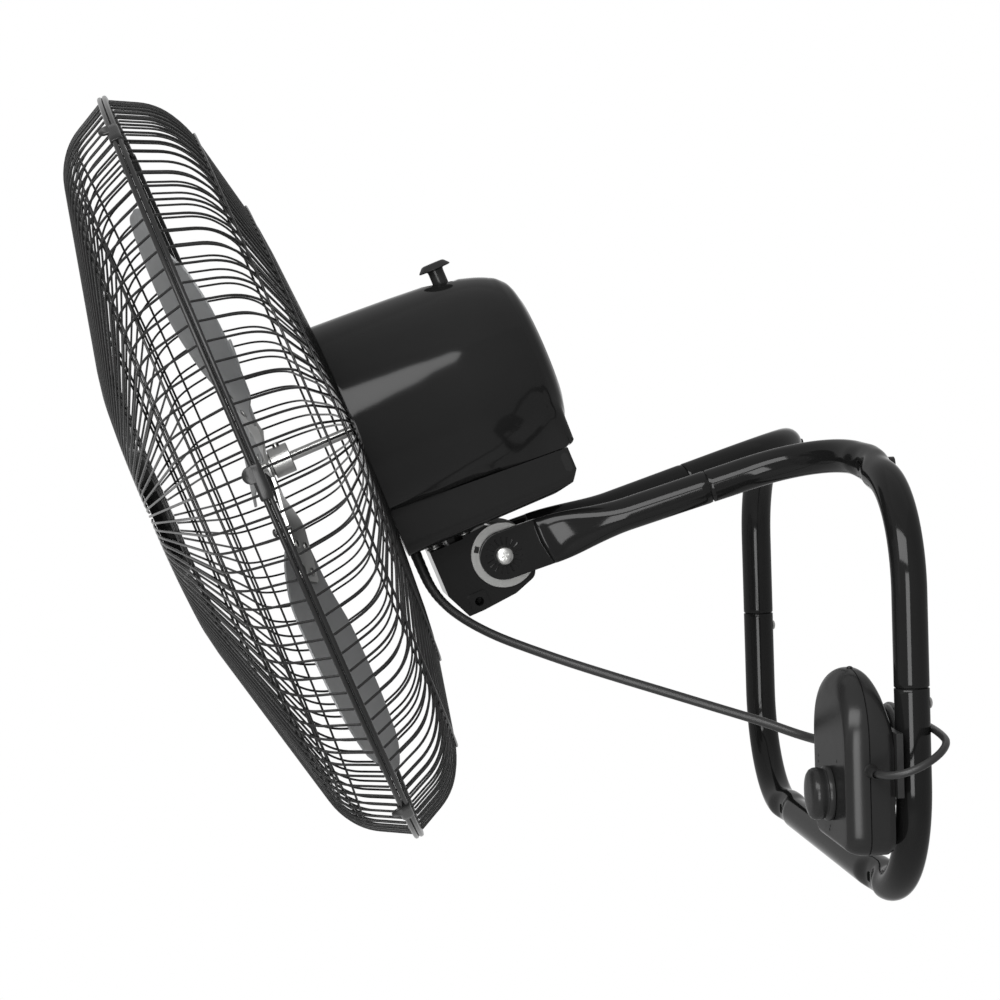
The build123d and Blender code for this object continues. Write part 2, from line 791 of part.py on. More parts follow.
for side, name in ((1, "front_rim"), (-1, "rear_rim")):
    with BuildPart() as rim:
        with BuildSketch(Plane.XY.offset(side * rim_half_gap)):
            RegularPolygon(guard_radius + rim_wire / 2, rim_sides, rotation=180 / rim_sides)
            RegularPolygon(
                guard_radius - rim_wire / 2, rim_sides, rotation=180 / rim_sides, mode=Mode.SUBTRACT
            )
        extrude(amount=side * rim_wire)
    save(rim, name, head_frame)

with BuildPart() as rear_guard_plate:
    with BuildSketch(Plane.XY.offset(motor_front + seat)):
        Circle(guard_plate_radius)
        Circle(guard_plate_bore / 2, mode=Mode.SUBTRACT)
    extrude(amount=guard_plate_thickness)
save(rear_guard_plate, "rear_guard_plate", head_frame)

flange_start = disc_dish_radius + disc_dish_wall
flange_inside = height_at(front_run, flange_start + 2 * disc_thickness) - wire_back_depth - seat
flange_outside = height_at(front_run, disc_radius) - wire_back_depth - seat
dish = flange_inside - disc_dish_depth

with BuildPart() as guard_disc:
    with BuildSketch(Plane.XZ):
        with BuildLine():
            Polyline(
                (0, dish), (disc_dish_radius, dish), (flange_start, flange_inside),
                (disc_radius, flange_outside), (disc_radius, flange_outside - disc_thickness),
                (flange_start + disc_thickness, flange_inside - disc_thickness),
                (disc_dish_radius + disc_thickness, dish - disc_thickness),
                (0, dish - disc_thickness), close=True,
            )
        make_face()
    revolve(axis=Axis.Z)
save(guard_disc, "guard_disc", head_frame)

# ---- Head: rim clips ----

for k in range(clip_count):
    with BuildPart() as rim_clip:
        with BuildSketch(Plane.YZ):
            Rectangle(clip_length, 2 * clip_reach)
        extrude(amount=guard_radius + rim_wire / 2 + clip_wall)
        with BuildSketch(Plane.YZ):
            Rectangle(2 * clip_length, 4 * clip_reach)
        extrude(amount=guard_radius - rim_wire / 2 - seat, mode=Mode.SUBTRACT)
        with BuildSketch(Plane.YZ):
            Rectangle(2 * clip_length, 2 * (rim_wire + rim_half_gap + seat))
        extrude(amount=(guard_radius + rim_wire / 2) * cos(pi / rim_sides) + seat, mode=Mode.SUBTRACT)
        with BuildSketch(Plane.YZ.offset(guard_radius + rim_wire / 2)):
            with Locations((clip_ear_shift, clip_reach)):
                Rectangle(clip_ear_width, clip_ear_height, align=(Align.CENTER, Align.MIN))
        extrude(amount=clip_wall)
    turned = Plane(head_frame.location * Rot(0, 0, k * 360 / clip_count))
    save(rim_clip, f"rim_clip_{k + 1}", turned)

# ---- Rotor ----

with BuildPart() as shaft:
    with BuildSketch(Plane.XY.offset(shaft_back)):
        Circle(shaft_diameter / 2)
    extrude(amount=shaft_front - shaft_back)
save(shaft, "shaft", head_frame)

with BuildPart() as rotor_core:
    with BuildSketch(Plane.XY.offset(stator_back)):
        Circle(rotor_core_diameter / 2)
        Circle(shaft_diameter / 2 + bore_fit, mode=Mode.SUBTRACT)
    extrude(amount=stator_length)
save(rotor_core, "rotor_core", head_frame)

with BuildPart() as hub:
    with BuildSketch(Plane.XY.offset(hub_back)):
        Circle(hub_diameter / 2)
    extrude(amount=hub_front - hub_back)
    with BuildSketch(Plane.XY.offset(hub_front)):
        Circle(hub_nose_diameter / 2)
    extrude(amount=spider_back - seat - hub_front)
    with BuildSketch(Plane.XY.offset(hub_back)):
        Circle(shaft_diameter / 2 + bore_fit)
    extrude(amount=-hub_back, mode=Mode.SUBTRACT)
save(hub, "hub", head_frame)


def root_height(reach):
    """Where the flat root of a blade is along the fan's axis, at its middle."""
    return root_level + root_lift * (reach - root_start)


def strip_face(reach, thickness, front_end, back_end, camber=0.0):
    """A blade's section across its length: its two ends, its thickness and its hollow."""
    (u0, s0), (u1, s1) = front_end, back_end
    length = hypot(u1 - u0, s1 - s0)
    nx, ns = (s0 - s1) / length, (u1 - u0) / length
    half = thickness / 2

    def across(share, by):
        hollow = camber * (1 - (2 * share - 1) ** 2)
        return (
            u0 + (u1 - u0) * share + nx * (by + hollow), s0 + (s1 - s0) * share + ns * (by + hollow)
        )

    shares = [k / blade_strips for k in range(blade_strips + 1)]
    with BuildSketch(Plane.XZ.offset(-reach)) as section:
        with BuildLine():
            Polyline(
                *[across(share, half) for share in shares],
                *[across(share, -half) for share in reversed(shares)], close=True,
            )
        make_face()
    return section.sketch


def root_ends(reach, front, back, below=0.0):
    level_here = root_height(reach) - below
    return (front, level_here + root_slope * front), (back, level_here + root_slope * back)


with BuildPart() as blade:
    for reach, front, back in root_sections:
        add(strip_face(reach, blade_thickness, *root_ends(reach, front, back), root_camber))
    for reach, front_end, back_end in blade_sections:
        width = hypot(back_end[0] - front_end[0], back_end[1] - front_end[1])
        add(strip_face(reach, blade_thickness, front_end, back_end, blade_camber * width))
    loft(ruled=True)

for n in range(blade_count):
    turned = Plane(head_frame.location * Rot(0, 0, -blade_first - n * 360 / blade_count))
    save(blade, f"blade_{n + 1}", turned)

arm_drop = (blade_thickness + spider_thickness) / 2 + seat + running
with BuildPart() as spider_arm:
    half_arm = spider_arm_width / 2
    plate_middle = spider_back + spider_thickness / 2
    flat_ends = (-half_arm, plate_middle), (half_arm, plate_middle)
    add(strip_face(spider_bend_start, spider_thickness, *flat_ends))
    add(strip_face(root_start, spider_thickness, *root_ends(root_start, -half_arm, half_arm, arm_drop)))
    loft(ruled=True)
    for reach in (root_start, spider_reach):
        add(strip_face(reach, spider_thickness, *root_ends(reach, -half_arm, half_arm, arm_drop)))
    loft(ruled=True)

with BuildPart() as spider:
    with BuildSketch(Plane.XY.offset(spider_back)):
        Circle(spider_hub_radius)
    extrude(amount=spider_thickness)
    for n in range(blade_count):
        add(spider_arm.part.rotate(Axis.Z, -blade_first - n * 360 / blade_count))
    with BuildSketch(Plane.XY.offset(hub_back)):
        Circle(shaft_diameter / 2 + bore_fit)
    extrude(amount=-2 * hub_back, mode=Mode.SUBTRACT)
save(spider, "spider", head_frame)

# ---- Control box on the right leg ----

outwards = (0, -1, 0)  # from the wall into the room


def box_outline(y, inset=0.0):
    """The box's outline at a distance from the wall: an arch above, rounded corners below."""
    half_width = box_width / 2 - inset
    arch_z = box_top - box_width / 2
    left, right = box_centre_x - half_width, box_centre_x + half_width
    foot = box_bottom + inset
    with BuildSketch(crossways(y)) as outline:
        with BuildLine():
            ThreePointArc((left, arch_z), (box_centre_x, arch_z + half_width), (right, arch_z))
            Polyline((right, arch_z), (right, foot), (left, foot), (left, arch_z))
        make_face()
        fillet(outline.vertices().group_by(Axis.Y)[0], box_corner - inset)
    return outline.sketch


box_step = box_front + box_edge  # where the front's bevelled edge starts

with BuildPart() as box_front_shell:
    extrude(box_outline(box_seam - seat), amount=box_seam - seat - box_step, dir=outwards)
    extrude(box_outline(box_step), amount=box_edge, dir=outwards, taper=box_edge_slope)
    extrude(
        box_outline(box_seam, box_wall), amount=box_seam - box_step, dir=outwards, mode=Mode.SUBTRACT
    )
    with BuildSketch(crossways(box_seam)):
        with Locations((speed_knob_x, speed_knob_z)):
            Circle(switch_shaft / 2 + running)
    extrude(amount=box_seam - box_front, mode=Mode.SUBTRACT)
    for side, height in ((1, mains_gland_z), (-1, motor_gland_z)):
        add(gland_bore(side, height), mode=Mode.SUBTRACT)
save(box_front_shell, "box_front_shell")

with BuildPart() as box_back_shell:
    extrude(box_outline(box_back), amount=box_back - box_seam, dir=outwards)
    box_floor = box_back - box_wall
    extrude(
        box_outline(box_floor, box_wall), amount=box_floor - box_seam, dir=outwards, mode=Mode.SUBTRACT
    )
    for side, height in ((1, mains_gland_z), (-1, motor_gland_z)):
        add(gland_bore(side, height), mode=Mode.SUBTRACT)
save(box_back_shell, "box_back_shell")

with BuildPart() as box_plate:
    with BuildSketch(crossways(tube_y - tube_diameter / 2 - seat)):
        with Locations(((plate_left + plate_right) / 2, (plate_top + plate_bottom) / 2)):
            Rectangle(plate_right - plate_left, plate_top - plate_bottom)
    extrude(amount=tube_y - tube_diameter / 2 - box_back - 2 * seat)
save(box_plate, "box_plate")

with BuildPart() as rotary_switch:
    with BuildSketch(crossways(box_step + seat)):
        with Locations((speed_knob_x, speed_knob_z)):
            RectangleRounded(switch_size, switch_size, switch_corner)
            Circle(switch_shaft / 2 + bore_fit, mode=Mode.SUBTRACT)
    extrude(amount=-switch_depth)
save(rotary_switch, "rotary_switch")

with BuildPart() as speed_knob:
    with BuildSketch(crossways(box_front - running)):
        with Locations((speed_knob_x, speed_knob_z)):
            Circle(speed_knob_diameter / 2)
    extrude(amount=speed_flange)
    with BuildSketch(crossways(box_front - running - speed_flange)):
        with Locations((speed_knob_x, speed_knob_z)):
            Circle(speed_grip_diameter / 2)
    extrude(amount=speed_knob_height - speed_flange)
    chamfer(speed_knob.faces().sort_by(Axis.Y)[0].edges(), speed_flange / 2)
    with BuildSketch(crossways(box_front - running)):
        with Locations((speed_knob_x, speed_knob_z)):
            Circle(switch_shaft / 2)
    extrude(amount=-box_edge - switch_depth / 2)
save(speed_knob, "speed_knob")

for side, height, inside, name in (
    (1, mains_gland_z, mains_cord_diameter, "mains_gland"),
    (-1, motor_gland_z, motor_cord_diameter, "motor_cord_gland"),
):
    with BuildPart() as gland:
        with BuildSketch(gland_plane(side, height).offset(-gland_depth)):
            Circle(box_gland_diameter / 2)
            Circle(inside / 2 * cord_swell + bore_fit, mode=Mode.SUBTRACT)
        extrude(amount=gland_depth + gland_proud)
    save(gland, name)

with BuildPart() as head_gland:
    with BuildSketch(level(base_bottom - 1)):
        with Locations((0, motor_cord_back)):
            Circle(cord_gland_diameter / 2)
            Circle(motor_cord_diameter / 2 * cord_swell + bore_fit, mode=Mode.SUBTRACT)
    extrude(amount=-motor_wall - 1)
save(head_gland, "head_gland", head_frame)

# ---- Cords ----


def corner_radii(points):
    """The largest radius that each corner of a cord's route allows."""
    radii = []
    for before, corner, after in zip(points, points[1:], points[2:]):
        turn = radians((corner - before).get_angle(after - corner))
        shorter = min((corner - before).length, (after - corner).length)
        radii.append(0.45 * shorter / tan(turn / 2))
    return radii


def cord(name, points, diameter):
    """A free cord: a tube of straight runs joined by tangent arcs."""
    points = [Vector(*point) for point in points]
    radii = corner_radii(points)
    with BuildPart() as tube:
        with BuildLine() as route:
            FilletPolyline(*points, radius=radii)
        with BuildSketch(Plane(points[0], z_dir=points[1] - points[0])):
            RegularPolygon(diameter / 2 * cord_swell, cord_sides)
        sweep(path=route.wire())
    length = route.wire().length
    section = cord_sides / 2 * (diameter / 2 * cord_swell) ** 2 * sin(2 * pi / cord_sides)
    print(name, "length", round(length, 1), "radii", [round(radius) for radius in radii])
    print(name, "volume over section times length", round(tube.part.volume / section / length, 4))
    save(tube, name)


motor_cord_points = (
    (-0.91, -394.29, 108.9), (-0.91, -387.09, 90.2), (3.0, -380.2, 72.5), (12.0, -369.0, 57.0),
    (25.0, -353.0, 44.0), (42.0, -328.5, 30.5), (58.0, -297.4, 18.4), (72.0, -265.2, 6.5),
    (86.0, -227.3, -6.2), (98.0, -185.8, -19.9), (110.0, -145.0, -33.5), (122.0, -108.0, -45.5),
    (135.5, -84.6, -54.5), (154.4, -69.8, -58.3), (177.0, -62.6, -58.0), (198.5, -62.6, -58.0),
)
cord("motor_cord", motor_cord_points, motor_cord_diameter)

mains_cord_points = (
    (316.5, -62.6, -60.5), (341.0, -62.6, -60.5), (356.5, -51.3, -59.5), (362.4, -33.3, -53.5),
    (356.5, -15.3, -44.5), (341.0, -4.4, -37.5), (321.0, -3.9, -34.0), (286.0, -4.2, -32.4),
    (250.0, -5.4, -32.7), (coil_centre_x + seat, -5.4, -32.7),
)
cord("mains_cord", mains_cord_points, mains_cord_diameter)


def coil_place(turns):
    """A point of the coil and its direction there: a layer outwards from the wall, then one back."""
    inner_end = coil_inner_turns
    outer_start = inner_end + coil_step
    angle = 2 * pi * turns
    lift = min(max((turns - inner_end) / coil_step, 0), 1)
    radius = coil_inner_radius + (coil_outer_radius - coil_inner_radius) * lift * lift * (3 - 2 * lift)
    forward = coil_pitch * min(turns, inner_end) - coil_pitch * max(turns - outer_start, 0)
    return Vector(
        coil_centre_x - radius * sin(angle), coil_start_y - forward,
        coil_centre_z + radius * cos(angle),
    )


def coil_heading(turns):
    angle = 2 * pi * turns
    return Vector(-cos(angle), 0, -sin(angle))


def biarc(start, heading, end, end_heading):
    """Two arcs that leave a point in one direction and reach another point in another."""
    span = end - start
    both = heading + end_heading
    square = both.dot(both) - 4
    along = span.dot(both)
    reach = (along - (along * along - square * span.dot(span)) ** 0.5) / square
    meeting = (start + heading * reach + end - end_heading * reach) / 2
    first = TangentArc(start, meeting, tangent=heading)
    TangentArc(meeting, end, tangent=first % 1)


coil_turns = coil_inner_turns + coil_step + coil_outer_turns
with BuildPart() as mains_coil:
    with BuildLine() as coil_route:
        quarters = round(coil_turns * 4)
        for quarter in range(quarters):
            biarc(
                coil_place(quarter / 4), coil_heading(quarter / 4),
                coil_place((quarter + 1) / 4), coil_heading((quarter + 1) / 4),
            )
    with BuildSketch(Plane(coil_place(0), z_dir=coil_heading(0))):
        RegularPolygon(mains_cord_diameter / 2 * cord_swell, cord_sides)
    sweep(path=coil_route.wire())
coil_samples = [coil_place(k / 72) for k in range(round(coil_turns * 72) + 1)]
coil_gap = min(
    (a - b).length
    for k, a in enumerate(coil_samples)
    for b in coil_samples[k + 36:]
) - mains_cord_diameter
print("coil length", round(coil_route.wire().length), "least gap to itself", round(coil_gap, 2))
save(mains_coil, "mains_coil")

mains_tail_points = (
    (coil_centre_x - seat, -14.4, -25.3), (198.0, -14.4, -25.3), (178.0, -14.3, -30.5),
    (164.5, -14.1, -43.0), (160.0, -14.0, -60.0), (160.0, -14.0, -76.0),
)
cord("mains_tail", mains_tail_points, mains_cord_diameter)

plug_top = Vector(160.0, -14.0, -76.0 - seat)


def plug_plane(below):
    """A level plane below the plug's top, looking down."""
    return Plane(plug_top - Vector(0, 0, below), x_dir=(1, 0, 0), z_dir=(0, 0, -1))


with BuildPart() as plug_body:
    with BuildSketch(plug_plane(0)):
        RectangleRounded(plug_neck_size, plug_neck_size, plug_corner)
    with BuildSketch(plug_plane(plug_neck_length)):
        RectangleRounded(plug_shoulder_width, plug_shoulder_depth, plug_corner)
    loft(ruled=True)
    with BuildSketch(plug_plane(plug_neck_length)):
        RectangleRounded(plug_width, plug_depth, plug_corner)
    extrude(amount=plug_body_length)
save(plug_body, "plug_body")

with BuildPart() as plug_pins:
    with BuildSketch(plug_plane(plug_neck_length + plug_body_length + seat)):
        with GridLocations(plug_pin_spacing, 0, 2, 1):
            Circle(plug_pin_diameter / 2)
    extrude(amount=plug_pin_length)
save(plug_pins, "plug_pins")

with BuildPart() as coil_tie:
    bundle_x = coil_centre_x - (coil_inner_radius + coil_outer_radius) / 2
    bundle_y = coil_start_y - coil_pitch * coil_inner_turns / 2
    bundle_width = coil_outer_radius - coil_inner_radius + mains_cord_diameter * cord_swell + tie_slack
    bundle_depth = coil_pitch * coil_inner_turns + mains_cord_diameter * cord_swell + tie_slack
    with BuildSketch(Plane((bundle_x, bundle_y, coil_centre_z - tie_width / 2))):
        Rectangle(bundle_width + 2 * tie_thickness, bundle_depth + 2 * tie_thickness)
        Rectangle(bundle_width, bundle_depth, mode=Mode.SUBTRACT)
    extrude(amount=tie_width)
save(coil_tie, "coil_tie")
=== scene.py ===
"""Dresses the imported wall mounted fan: smooth tubes and mouldings, a round wire guard, blades, cords
and finishes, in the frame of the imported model. Profiles, origins and most of the named sizes are in
millimetres, and vectors and meshes are in metres."""

from math import atan2, cos, degrees, hypot, pi, radians, sin, tan

import bmesh
import bpy
from mathutils import Matrix, Vector


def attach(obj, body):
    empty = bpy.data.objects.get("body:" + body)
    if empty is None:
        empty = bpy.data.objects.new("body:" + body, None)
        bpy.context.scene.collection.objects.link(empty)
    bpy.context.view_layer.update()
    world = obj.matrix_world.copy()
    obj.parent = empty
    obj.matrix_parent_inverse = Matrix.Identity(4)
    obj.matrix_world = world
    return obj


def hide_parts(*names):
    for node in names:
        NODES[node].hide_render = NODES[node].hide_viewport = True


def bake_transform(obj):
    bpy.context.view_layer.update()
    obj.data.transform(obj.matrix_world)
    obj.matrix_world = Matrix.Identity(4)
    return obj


bl_info = {
    "name": "Wall mounted fan dressing",
    "version": (1, 0, 0),
    "blender": (4, 5, 0),
    "location": "View3D > Sidebar > Wall Fan",
    "description": "Builds the visible surfaces, cords and finishes of a wall mounted fan",
    "category": "Object",
}

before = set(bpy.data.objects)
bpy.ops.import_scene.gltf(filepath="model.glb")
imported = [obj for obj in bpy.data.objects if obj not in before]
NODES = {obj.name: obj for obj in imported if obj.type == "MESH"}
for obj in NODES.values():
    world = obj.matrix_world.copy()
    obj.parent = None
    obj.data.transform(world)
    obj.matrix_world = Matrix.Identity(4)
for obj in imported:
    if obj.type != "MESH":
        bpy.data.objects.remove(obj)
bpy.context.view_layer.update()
MM = 0.001
X, Y, Z = Vector((1.0, 0.0, 0.0)), Vector((0.0, 1.0, 0.0)), Vector((0.0, 0.0, 1.0))
UPRIGHT = Matrix.Identity(4)

# ---- Where the head stands ----

TILT, PAN = radians(21.0), radians(1.8)
PIVOT = Vector((0.0, -0.3165, 0.1002))
HEAD_ABOVE_PIVOT, HEAD_BEFORE_PIVOT, PAN_BACK = 0.152, 0.1645, 0.125
FAN_UP = Vector((0.0, -sin(TILT), cos(TILT)))
NECK_FORWARD = Vector((0.0, -cos(TILT), -sin(TILT)))


def basis(x_axis, y_axis, z_axis, origin):
    """A matrix that places a piece drawn in its own axes."""
    rows = [[x_axis[k], y_axis[k], z_axis[k], origin[k]] for k in range(3)]
    return Matrix(rows + [[0.0, 0.0, 0.0, 1.0]])


FAN_CENTRE = PIVOT + FAN_UP * HEAD_ABOVE_PIVOT + NECK_FORWARD * HEAD_BEFORE_PIVOT
NECK = basis(X, FAN_UP, NECK_FORWARD, FAN_CENTRE)
HEAD = (
    NECK
    @ Matrix.Translation((0.0, 0.0, -PAN_BACK))
    @ Matrix.Rotation(-PAN, 4, "Y")
    @ Matrix.Translation((0.0, 0.0, PAN_BACK))
)
BODY_AXES = {"head": HEAD, "rotor": HEAD, "oscillation_knob": HEAD, "neck": NECK}

# ---- Sizes and colours a user would change ----


def length_option(name, description, default, low, high):
    """A length in the panel, given in millimetres."""
    return bpy.props.FloatProperty(
        name=name, description=description, default=default * MM, min=low * MM, max=high * MM,
        unit="LENGTH",
    )


def colour_option(name, description, red, green, blue):
    return bpy.props.FloatVectorProperty(
        name=name, description=description, subtype="COLOR", size=3, default=(red, green, blue),
        min=0.0, max=1.0,
    )


class FanSizes(bpy.types.PropertyGroup):
    """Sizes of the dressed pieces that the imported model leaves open."""

    guard_wire: length_option("Guard wire", "Diameter of the radial guard wires", 2.2, 1.0, 4.0)
    ring_wire: length_option("Ring wire", "Diameter of the guard's support rings", 2.2, 1.0, 4.0)
    rim_wire: length_option("Rim wire", "Diameter of the two rim rings", 4.3, 2.0, 8.0)
    tube: length_option("Bracket tube", "Diameter of the bracket's tube", 29.0, 15.0, 40.0)
    motor_cord: length_option("Motor cord", "Diameter of the cord from the motor to the control box",
                              8.0, 4.0, 12.0)
    mains_cord: length_option("Mains cord", "Diameter of the mains cord", 6.4, 4.0, 12.0)


class FanColours(bpy.types.PropertyGroup):
    """Colours of the finishes."""

    paint: colour_option("Paint", "Gloss powder coat of the tubes and the housing",
                         0.0034, 0.0034, 0.0034)
    wire: colour_option("Wire", "Coating of the guard wires", 0.006, 0.006, 0.006)
    moulding: colour_option("Moulding", "Plastic of the control box and the knobs", 0.007, 0.007, 0.007)
    sheath: colour_option("Cord sheath", "Sheath of both cords", 0.009, 0.009, 0.009)
    blade: colour_option("Blades", "Satin finish of the blades", 0.058, 0.06, 0.061)
    steel: colour_option("Plated steel", "Plated steel of the hub, shaft, discs and screws",
                         0.24, 0.24, 0.235)
    background: colour_option("Background", "Floor and surroundings", 1.0, 1.0, 1.0)


# ---- Finishes ----

LINED = {"metallic": 1.0, "grain": 900.0, "shade": 0.2, "bump": 0.12, "lined": True}
# Each finish: its material's name, a colour option or a colour, the share of it, the roughness and
# what else differs from the plain finish.
FINISHES = {
    "paint": ("Gloss powder coat", "paint", 1.0, 0.1,
              {"specular": 0.09, "grain": 260.0, "spread": 0.03, "edge": 0.85}),
    "housing": ("Housing gloss", "paint", 1.3, 0.11,
                {"specular": 0.08, "grain": 180.0, "bump": 0.012, "spread": 0.02, "edge": 0.85}),
    # Near black: painted shade in the neck's eye, the cover's slot and the gaps at the tube joints; also
    # the marks on the discs.
    "recess": ("Dark recess", (0.001, 0.001, 0.001), 1.0, 0.6, {"specular": 0.1}),
    "wire": ("Guard wire coat", "wire", 1.0, 0.25, {"specular": 0.12, "grain": 500.0, "bump": 0.03}),
    "moulding": ("Moulded plastic", "moulding", 1.0, 0.22,
                 {"specular": 0.09, "grain": 900.0, "bump": 0.05, "edge": 0.92}),
    "dull": ("Dull moulded plastic", "moulding", 0.8, 0.5,
             {"specular": 0.15, "grain": 1200.0, "bump": 0.12}),
    "sheath": ("Cord sheath", "sheath", 1.0, 0.4, {"specular": 0.16, "grain": 700.0, "bump": 0.03}),
    "blade": ("Blade satin", "blade", 1.0, 0.42,
              {"specular": 0.4, "grain": 300.0, "bump": 0.04, "shade": 0.05}),
    "steel": ("Plated steel", "steel", 0.85, 0.34, LINED),
    "dark steel": ("Dull steel", "steel", 0.45, 0.42, LINED),
    "disc steel": ("Disc steel", "steel", 0.33, 0.42, LINED),
    "brass": ("Plain brass", (0.55, 0.4, 0.16), 1.0, 0.3, LINED),
}
LINE_STRETCH = (600.0, 600.0, 12.0)
LINE_DEPTH, GRAIN_DEPTH = 0.2 * MM, 0.4 * MM
CLOUD_SCALE, BROAD_SCALE = 9.0, 22.0
EDGE_FROM, EDGE_TO = 0.3, 0.76


def feed(tree, node, inputs):
    """Sets each named or numbered input of a node to a value, or links it to another's output."""
    for key, value in inputs.items():
        if isinstance(value, bpy.types.NodeSocket):
            tree.links.new(value, node.inputs[key])
        else:
            node.inputs[key].default_value = value


def add_node(tree, kind, inputs, **settings):
    node = tree.nodes.new("ShaderNode" + kind)
    for key, value in settings.items():
        setattr(node, key, value)
    feed(tree, node, inputs)
    return node


def add_noise(tree, vector, scale, detail):
    inputs = {"Vector": vector, "Scale": scale, "Detail": detail}
    return add_node(tree, "TexNoise", inputs).outputs["Fac"]


def add_math(tree, operation, *values):
    return add_node(tree, "Math", dict(enumerate(values)), operation=operation).outputs[0]


def add_range(tree, value, from_min, from_max, to_min, to_max):
    """A value moved from one range to another."""
    spread = {"Value": value, "From Min": from_min, "From Max": from_max, "To Min": to_min,
              "To Max": to_max}
    return add_node(tree, "MapRange", spread).outputs["Result"]


def speckle_group():
    """Fine unevenness that every finish shares: a bump height and a small change of roughness."""
    title = "Surface unevenness"
    if title in bpy.data.node_groups:
        return bpy.data.node_groups[title]
    group = bpy.data.node_groups.new(title, "ShaderNodeTree")
    for name, value in (("Scale", 400.0), ("Roughness", 0.3), ("Spread", 0.05)):
        socket = group.interface.new_socket(name, in_out="INPUT", socket_type="NodeSocketFloat")
        socket.default_value = value
    for name in ("Roughness", "Height"):
        group.interface.new_socket(name, in_out="OUTPUT", socket_type="NodeSocketFloat")
    given = group.nodes.new("NodeGroupInput").outputs
    place = add_node(group, "TexCoord", {}).outputs["Object"]
    swing = add_math(group, "SUBTRACT", add_noise(group, place, BROAD_SCALE, 3.0), 0.5)
    feed(group, group.nodes.new("NodeGroupOutput"), {
        "Roughness": add_math(group, "MULTIPLY_ADD", swing, given["Spread"], given["Roughness"]),
        "Height": add_noise(group, place, given["Scale"], 2.0),
    })
    return group


def make_finish(title, colour, roughness, metallic=0.0, specular=0.5, grain=400.0, bump=0.02,
                spread=0.06, shade=0.1, edge=0.0, lined=False):
    """A material whose colour varies a little over the surface, with fine unevenness in its gloss.
    Its specular level falls by the share edge where the surface turns away. Lined metal has fine
    lines in one direction."""
    material = bpy.data.materials.new(title)
    material.use_nodes = True
    tree = material.node_tree
    place = add_node(tree, "TexCoord", {}).outputs["Object"]
    uneven = add_node(tree, "Group", {"Scale": grain, "Roughness": roughness, "Spread": spread},
                      node_tree=speckle_group()).outputs
    height, depth = uneven["Height"], GRAIN_DEPTH
    if lined:
        pull = add_node(tree, "Mapping", {"Vector": place, "Scale": LINE_STRETCH})
        height, depth = add_noise(tree, pull.outputs["Vector"], 1.0, 3.0), LINE_DEPTH
    ramp = add_node(tree, "ValToRGB", {"Fac": add_noise(tree, place, CLOUD_SCALE, 4.0)})
    for element, position, change in zip(ramp.color_ramp.elements, (0.3, 0.7), (-shade, shade)):
        element.position = position
        element.color = (*[min(c * (1 + change), 1.0) for c in colour], 1.0)
    relief = add_node(tree, "Bump", {"Strength": bump, "Distance": depth, "Height": height})
    feed(tree, tree.nodes["Principled BSDF"], {
        "Base Color": ramp.outputs["Color"], "Metallic": metallic, "Roughness": uneven["Roughness"],
        "Specular IOR Level": specular, "Normal": relief.outputs["Normal"],
    })
    if edge:
        facing = add_node(tree, "LayerWeight", {"Blend": 0.5}).outputs["Facing"]
        fall = add_range(tree, facing, EDGE_FROM, EDGE_TO, specular, specular * (1 - edge))
        feed(tree, tree.nodes["Principled BSDF"], {"Specular IOR Level": fall})


def finish(look):
    """The material of a finish, made at its first use."""
    title, colour, share, roughness, settings = FINISHES[look]
    if title not in bpy.data.materials:
        if isinstance(colour, str):
            colour = getattr(bpy.context.scene.fan_colours, colour)
        make_finish(title, [c * share for c in colour], roughness, **settings)
    return bpy.data.materials[title]


# ---- Pieces ----


def linked(name, data):
    """A new object in the scene."""
    item = bpy.data.objects.new(name, data)
    bpy.context.scene.collection.objects.link(item)
    return item


def outward_mesh(name, part, place=UPRIGHT):
    """A mesh of a (verts, faces) part, with its faces turned outwards."""
    verts, faces = part
    mesh = bpy.data.meshes.new(name)
    mesh.from_pydata([tuple(v) for v in verts], [], faces)
    mesh.transform(place)
    mesh.update()
    shaped = bmesh.new()
    shaped.from_mesh(mesh)
    bmesh.ops.recalc_face_normals(shaped, faces=shaped.faces)
    shaped.to_mesh(mesh)
    shaped.free()
    return mesh


def add_piece(name, part, look, body, crease=32.0, hides=()):
    """A piece, drawn in its body's axes, that is smooth but for its edges, rides on the body and
    stands for some nodes. Without a body the piece stays where it is drawn."""
    material = finish(look)
    mesh = outward_mesh(name, part, BODY_AXES.get(body, UPRIGHT))
    mesh.shade_smooth()
    mesh.set_sharp_from_angle(angle=radians(crease))
    mesh.materials.append(material)
    piece = linked(name, mesh)
    if body:
        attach(piece, body)
    if hides:
        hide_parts(*hides)
    return piece


def carry_over(node, look, width=0.0):
    """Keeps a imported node, in a finish and with its edges rounded by a width."""
    piece = NODES[node]
    piece.data.materials.clear()
    piece.data.materials.append(finish(look))
    piece.data.shade_smooth()
    piece.data.set_sharp_from_angle(angle=radians(28.0))
    if width:
        bevel = piece.modifiers.new("edges", "BEVEL")
        bevel.width = width * MM
        bevel.segments = 3
        bevel.limit_method = "ANGLE"
        bevel.angle_limit = radians(30.0)
        bevel.harden_normals = False


def cut(piece, *cutters):
    """Takes closed parts out of a piece for good."""
    mesh = outward_mesh("cutter", merge(*cutters))
    tool = linked("cutter", mesh)
    boolean = piece.modifiers.new("cut", "BOOLEAN")
    boolean.operation = "DIFFERENCE"
    boolean.solver = "EXACT"
    boolean.object = tool
    graph = bpy.context.evaluated_depsgraph_get()
    result = bpy.data.meshes.new_from_object(piece.evaluated_get(graph))
    piece.modifiers.clear()
    old = piece.data
    piece.data = result
    bpy.data.objects.remove(tool)
    bpy.data.meshes.remove(mesh)
    bpy.data.meshes.remove(old)


# ---- Parts: lists of points and faces ----


def merge(*parts):
    """Several parts as one."""
    verts, faces = [], []
    for more_verts, more_faces in parts:
        start = len(verts)
        verts.extend(more_verts)
        faces.extend([tuple(start + k for k in face) for face in more_faces])
    return verts, faces


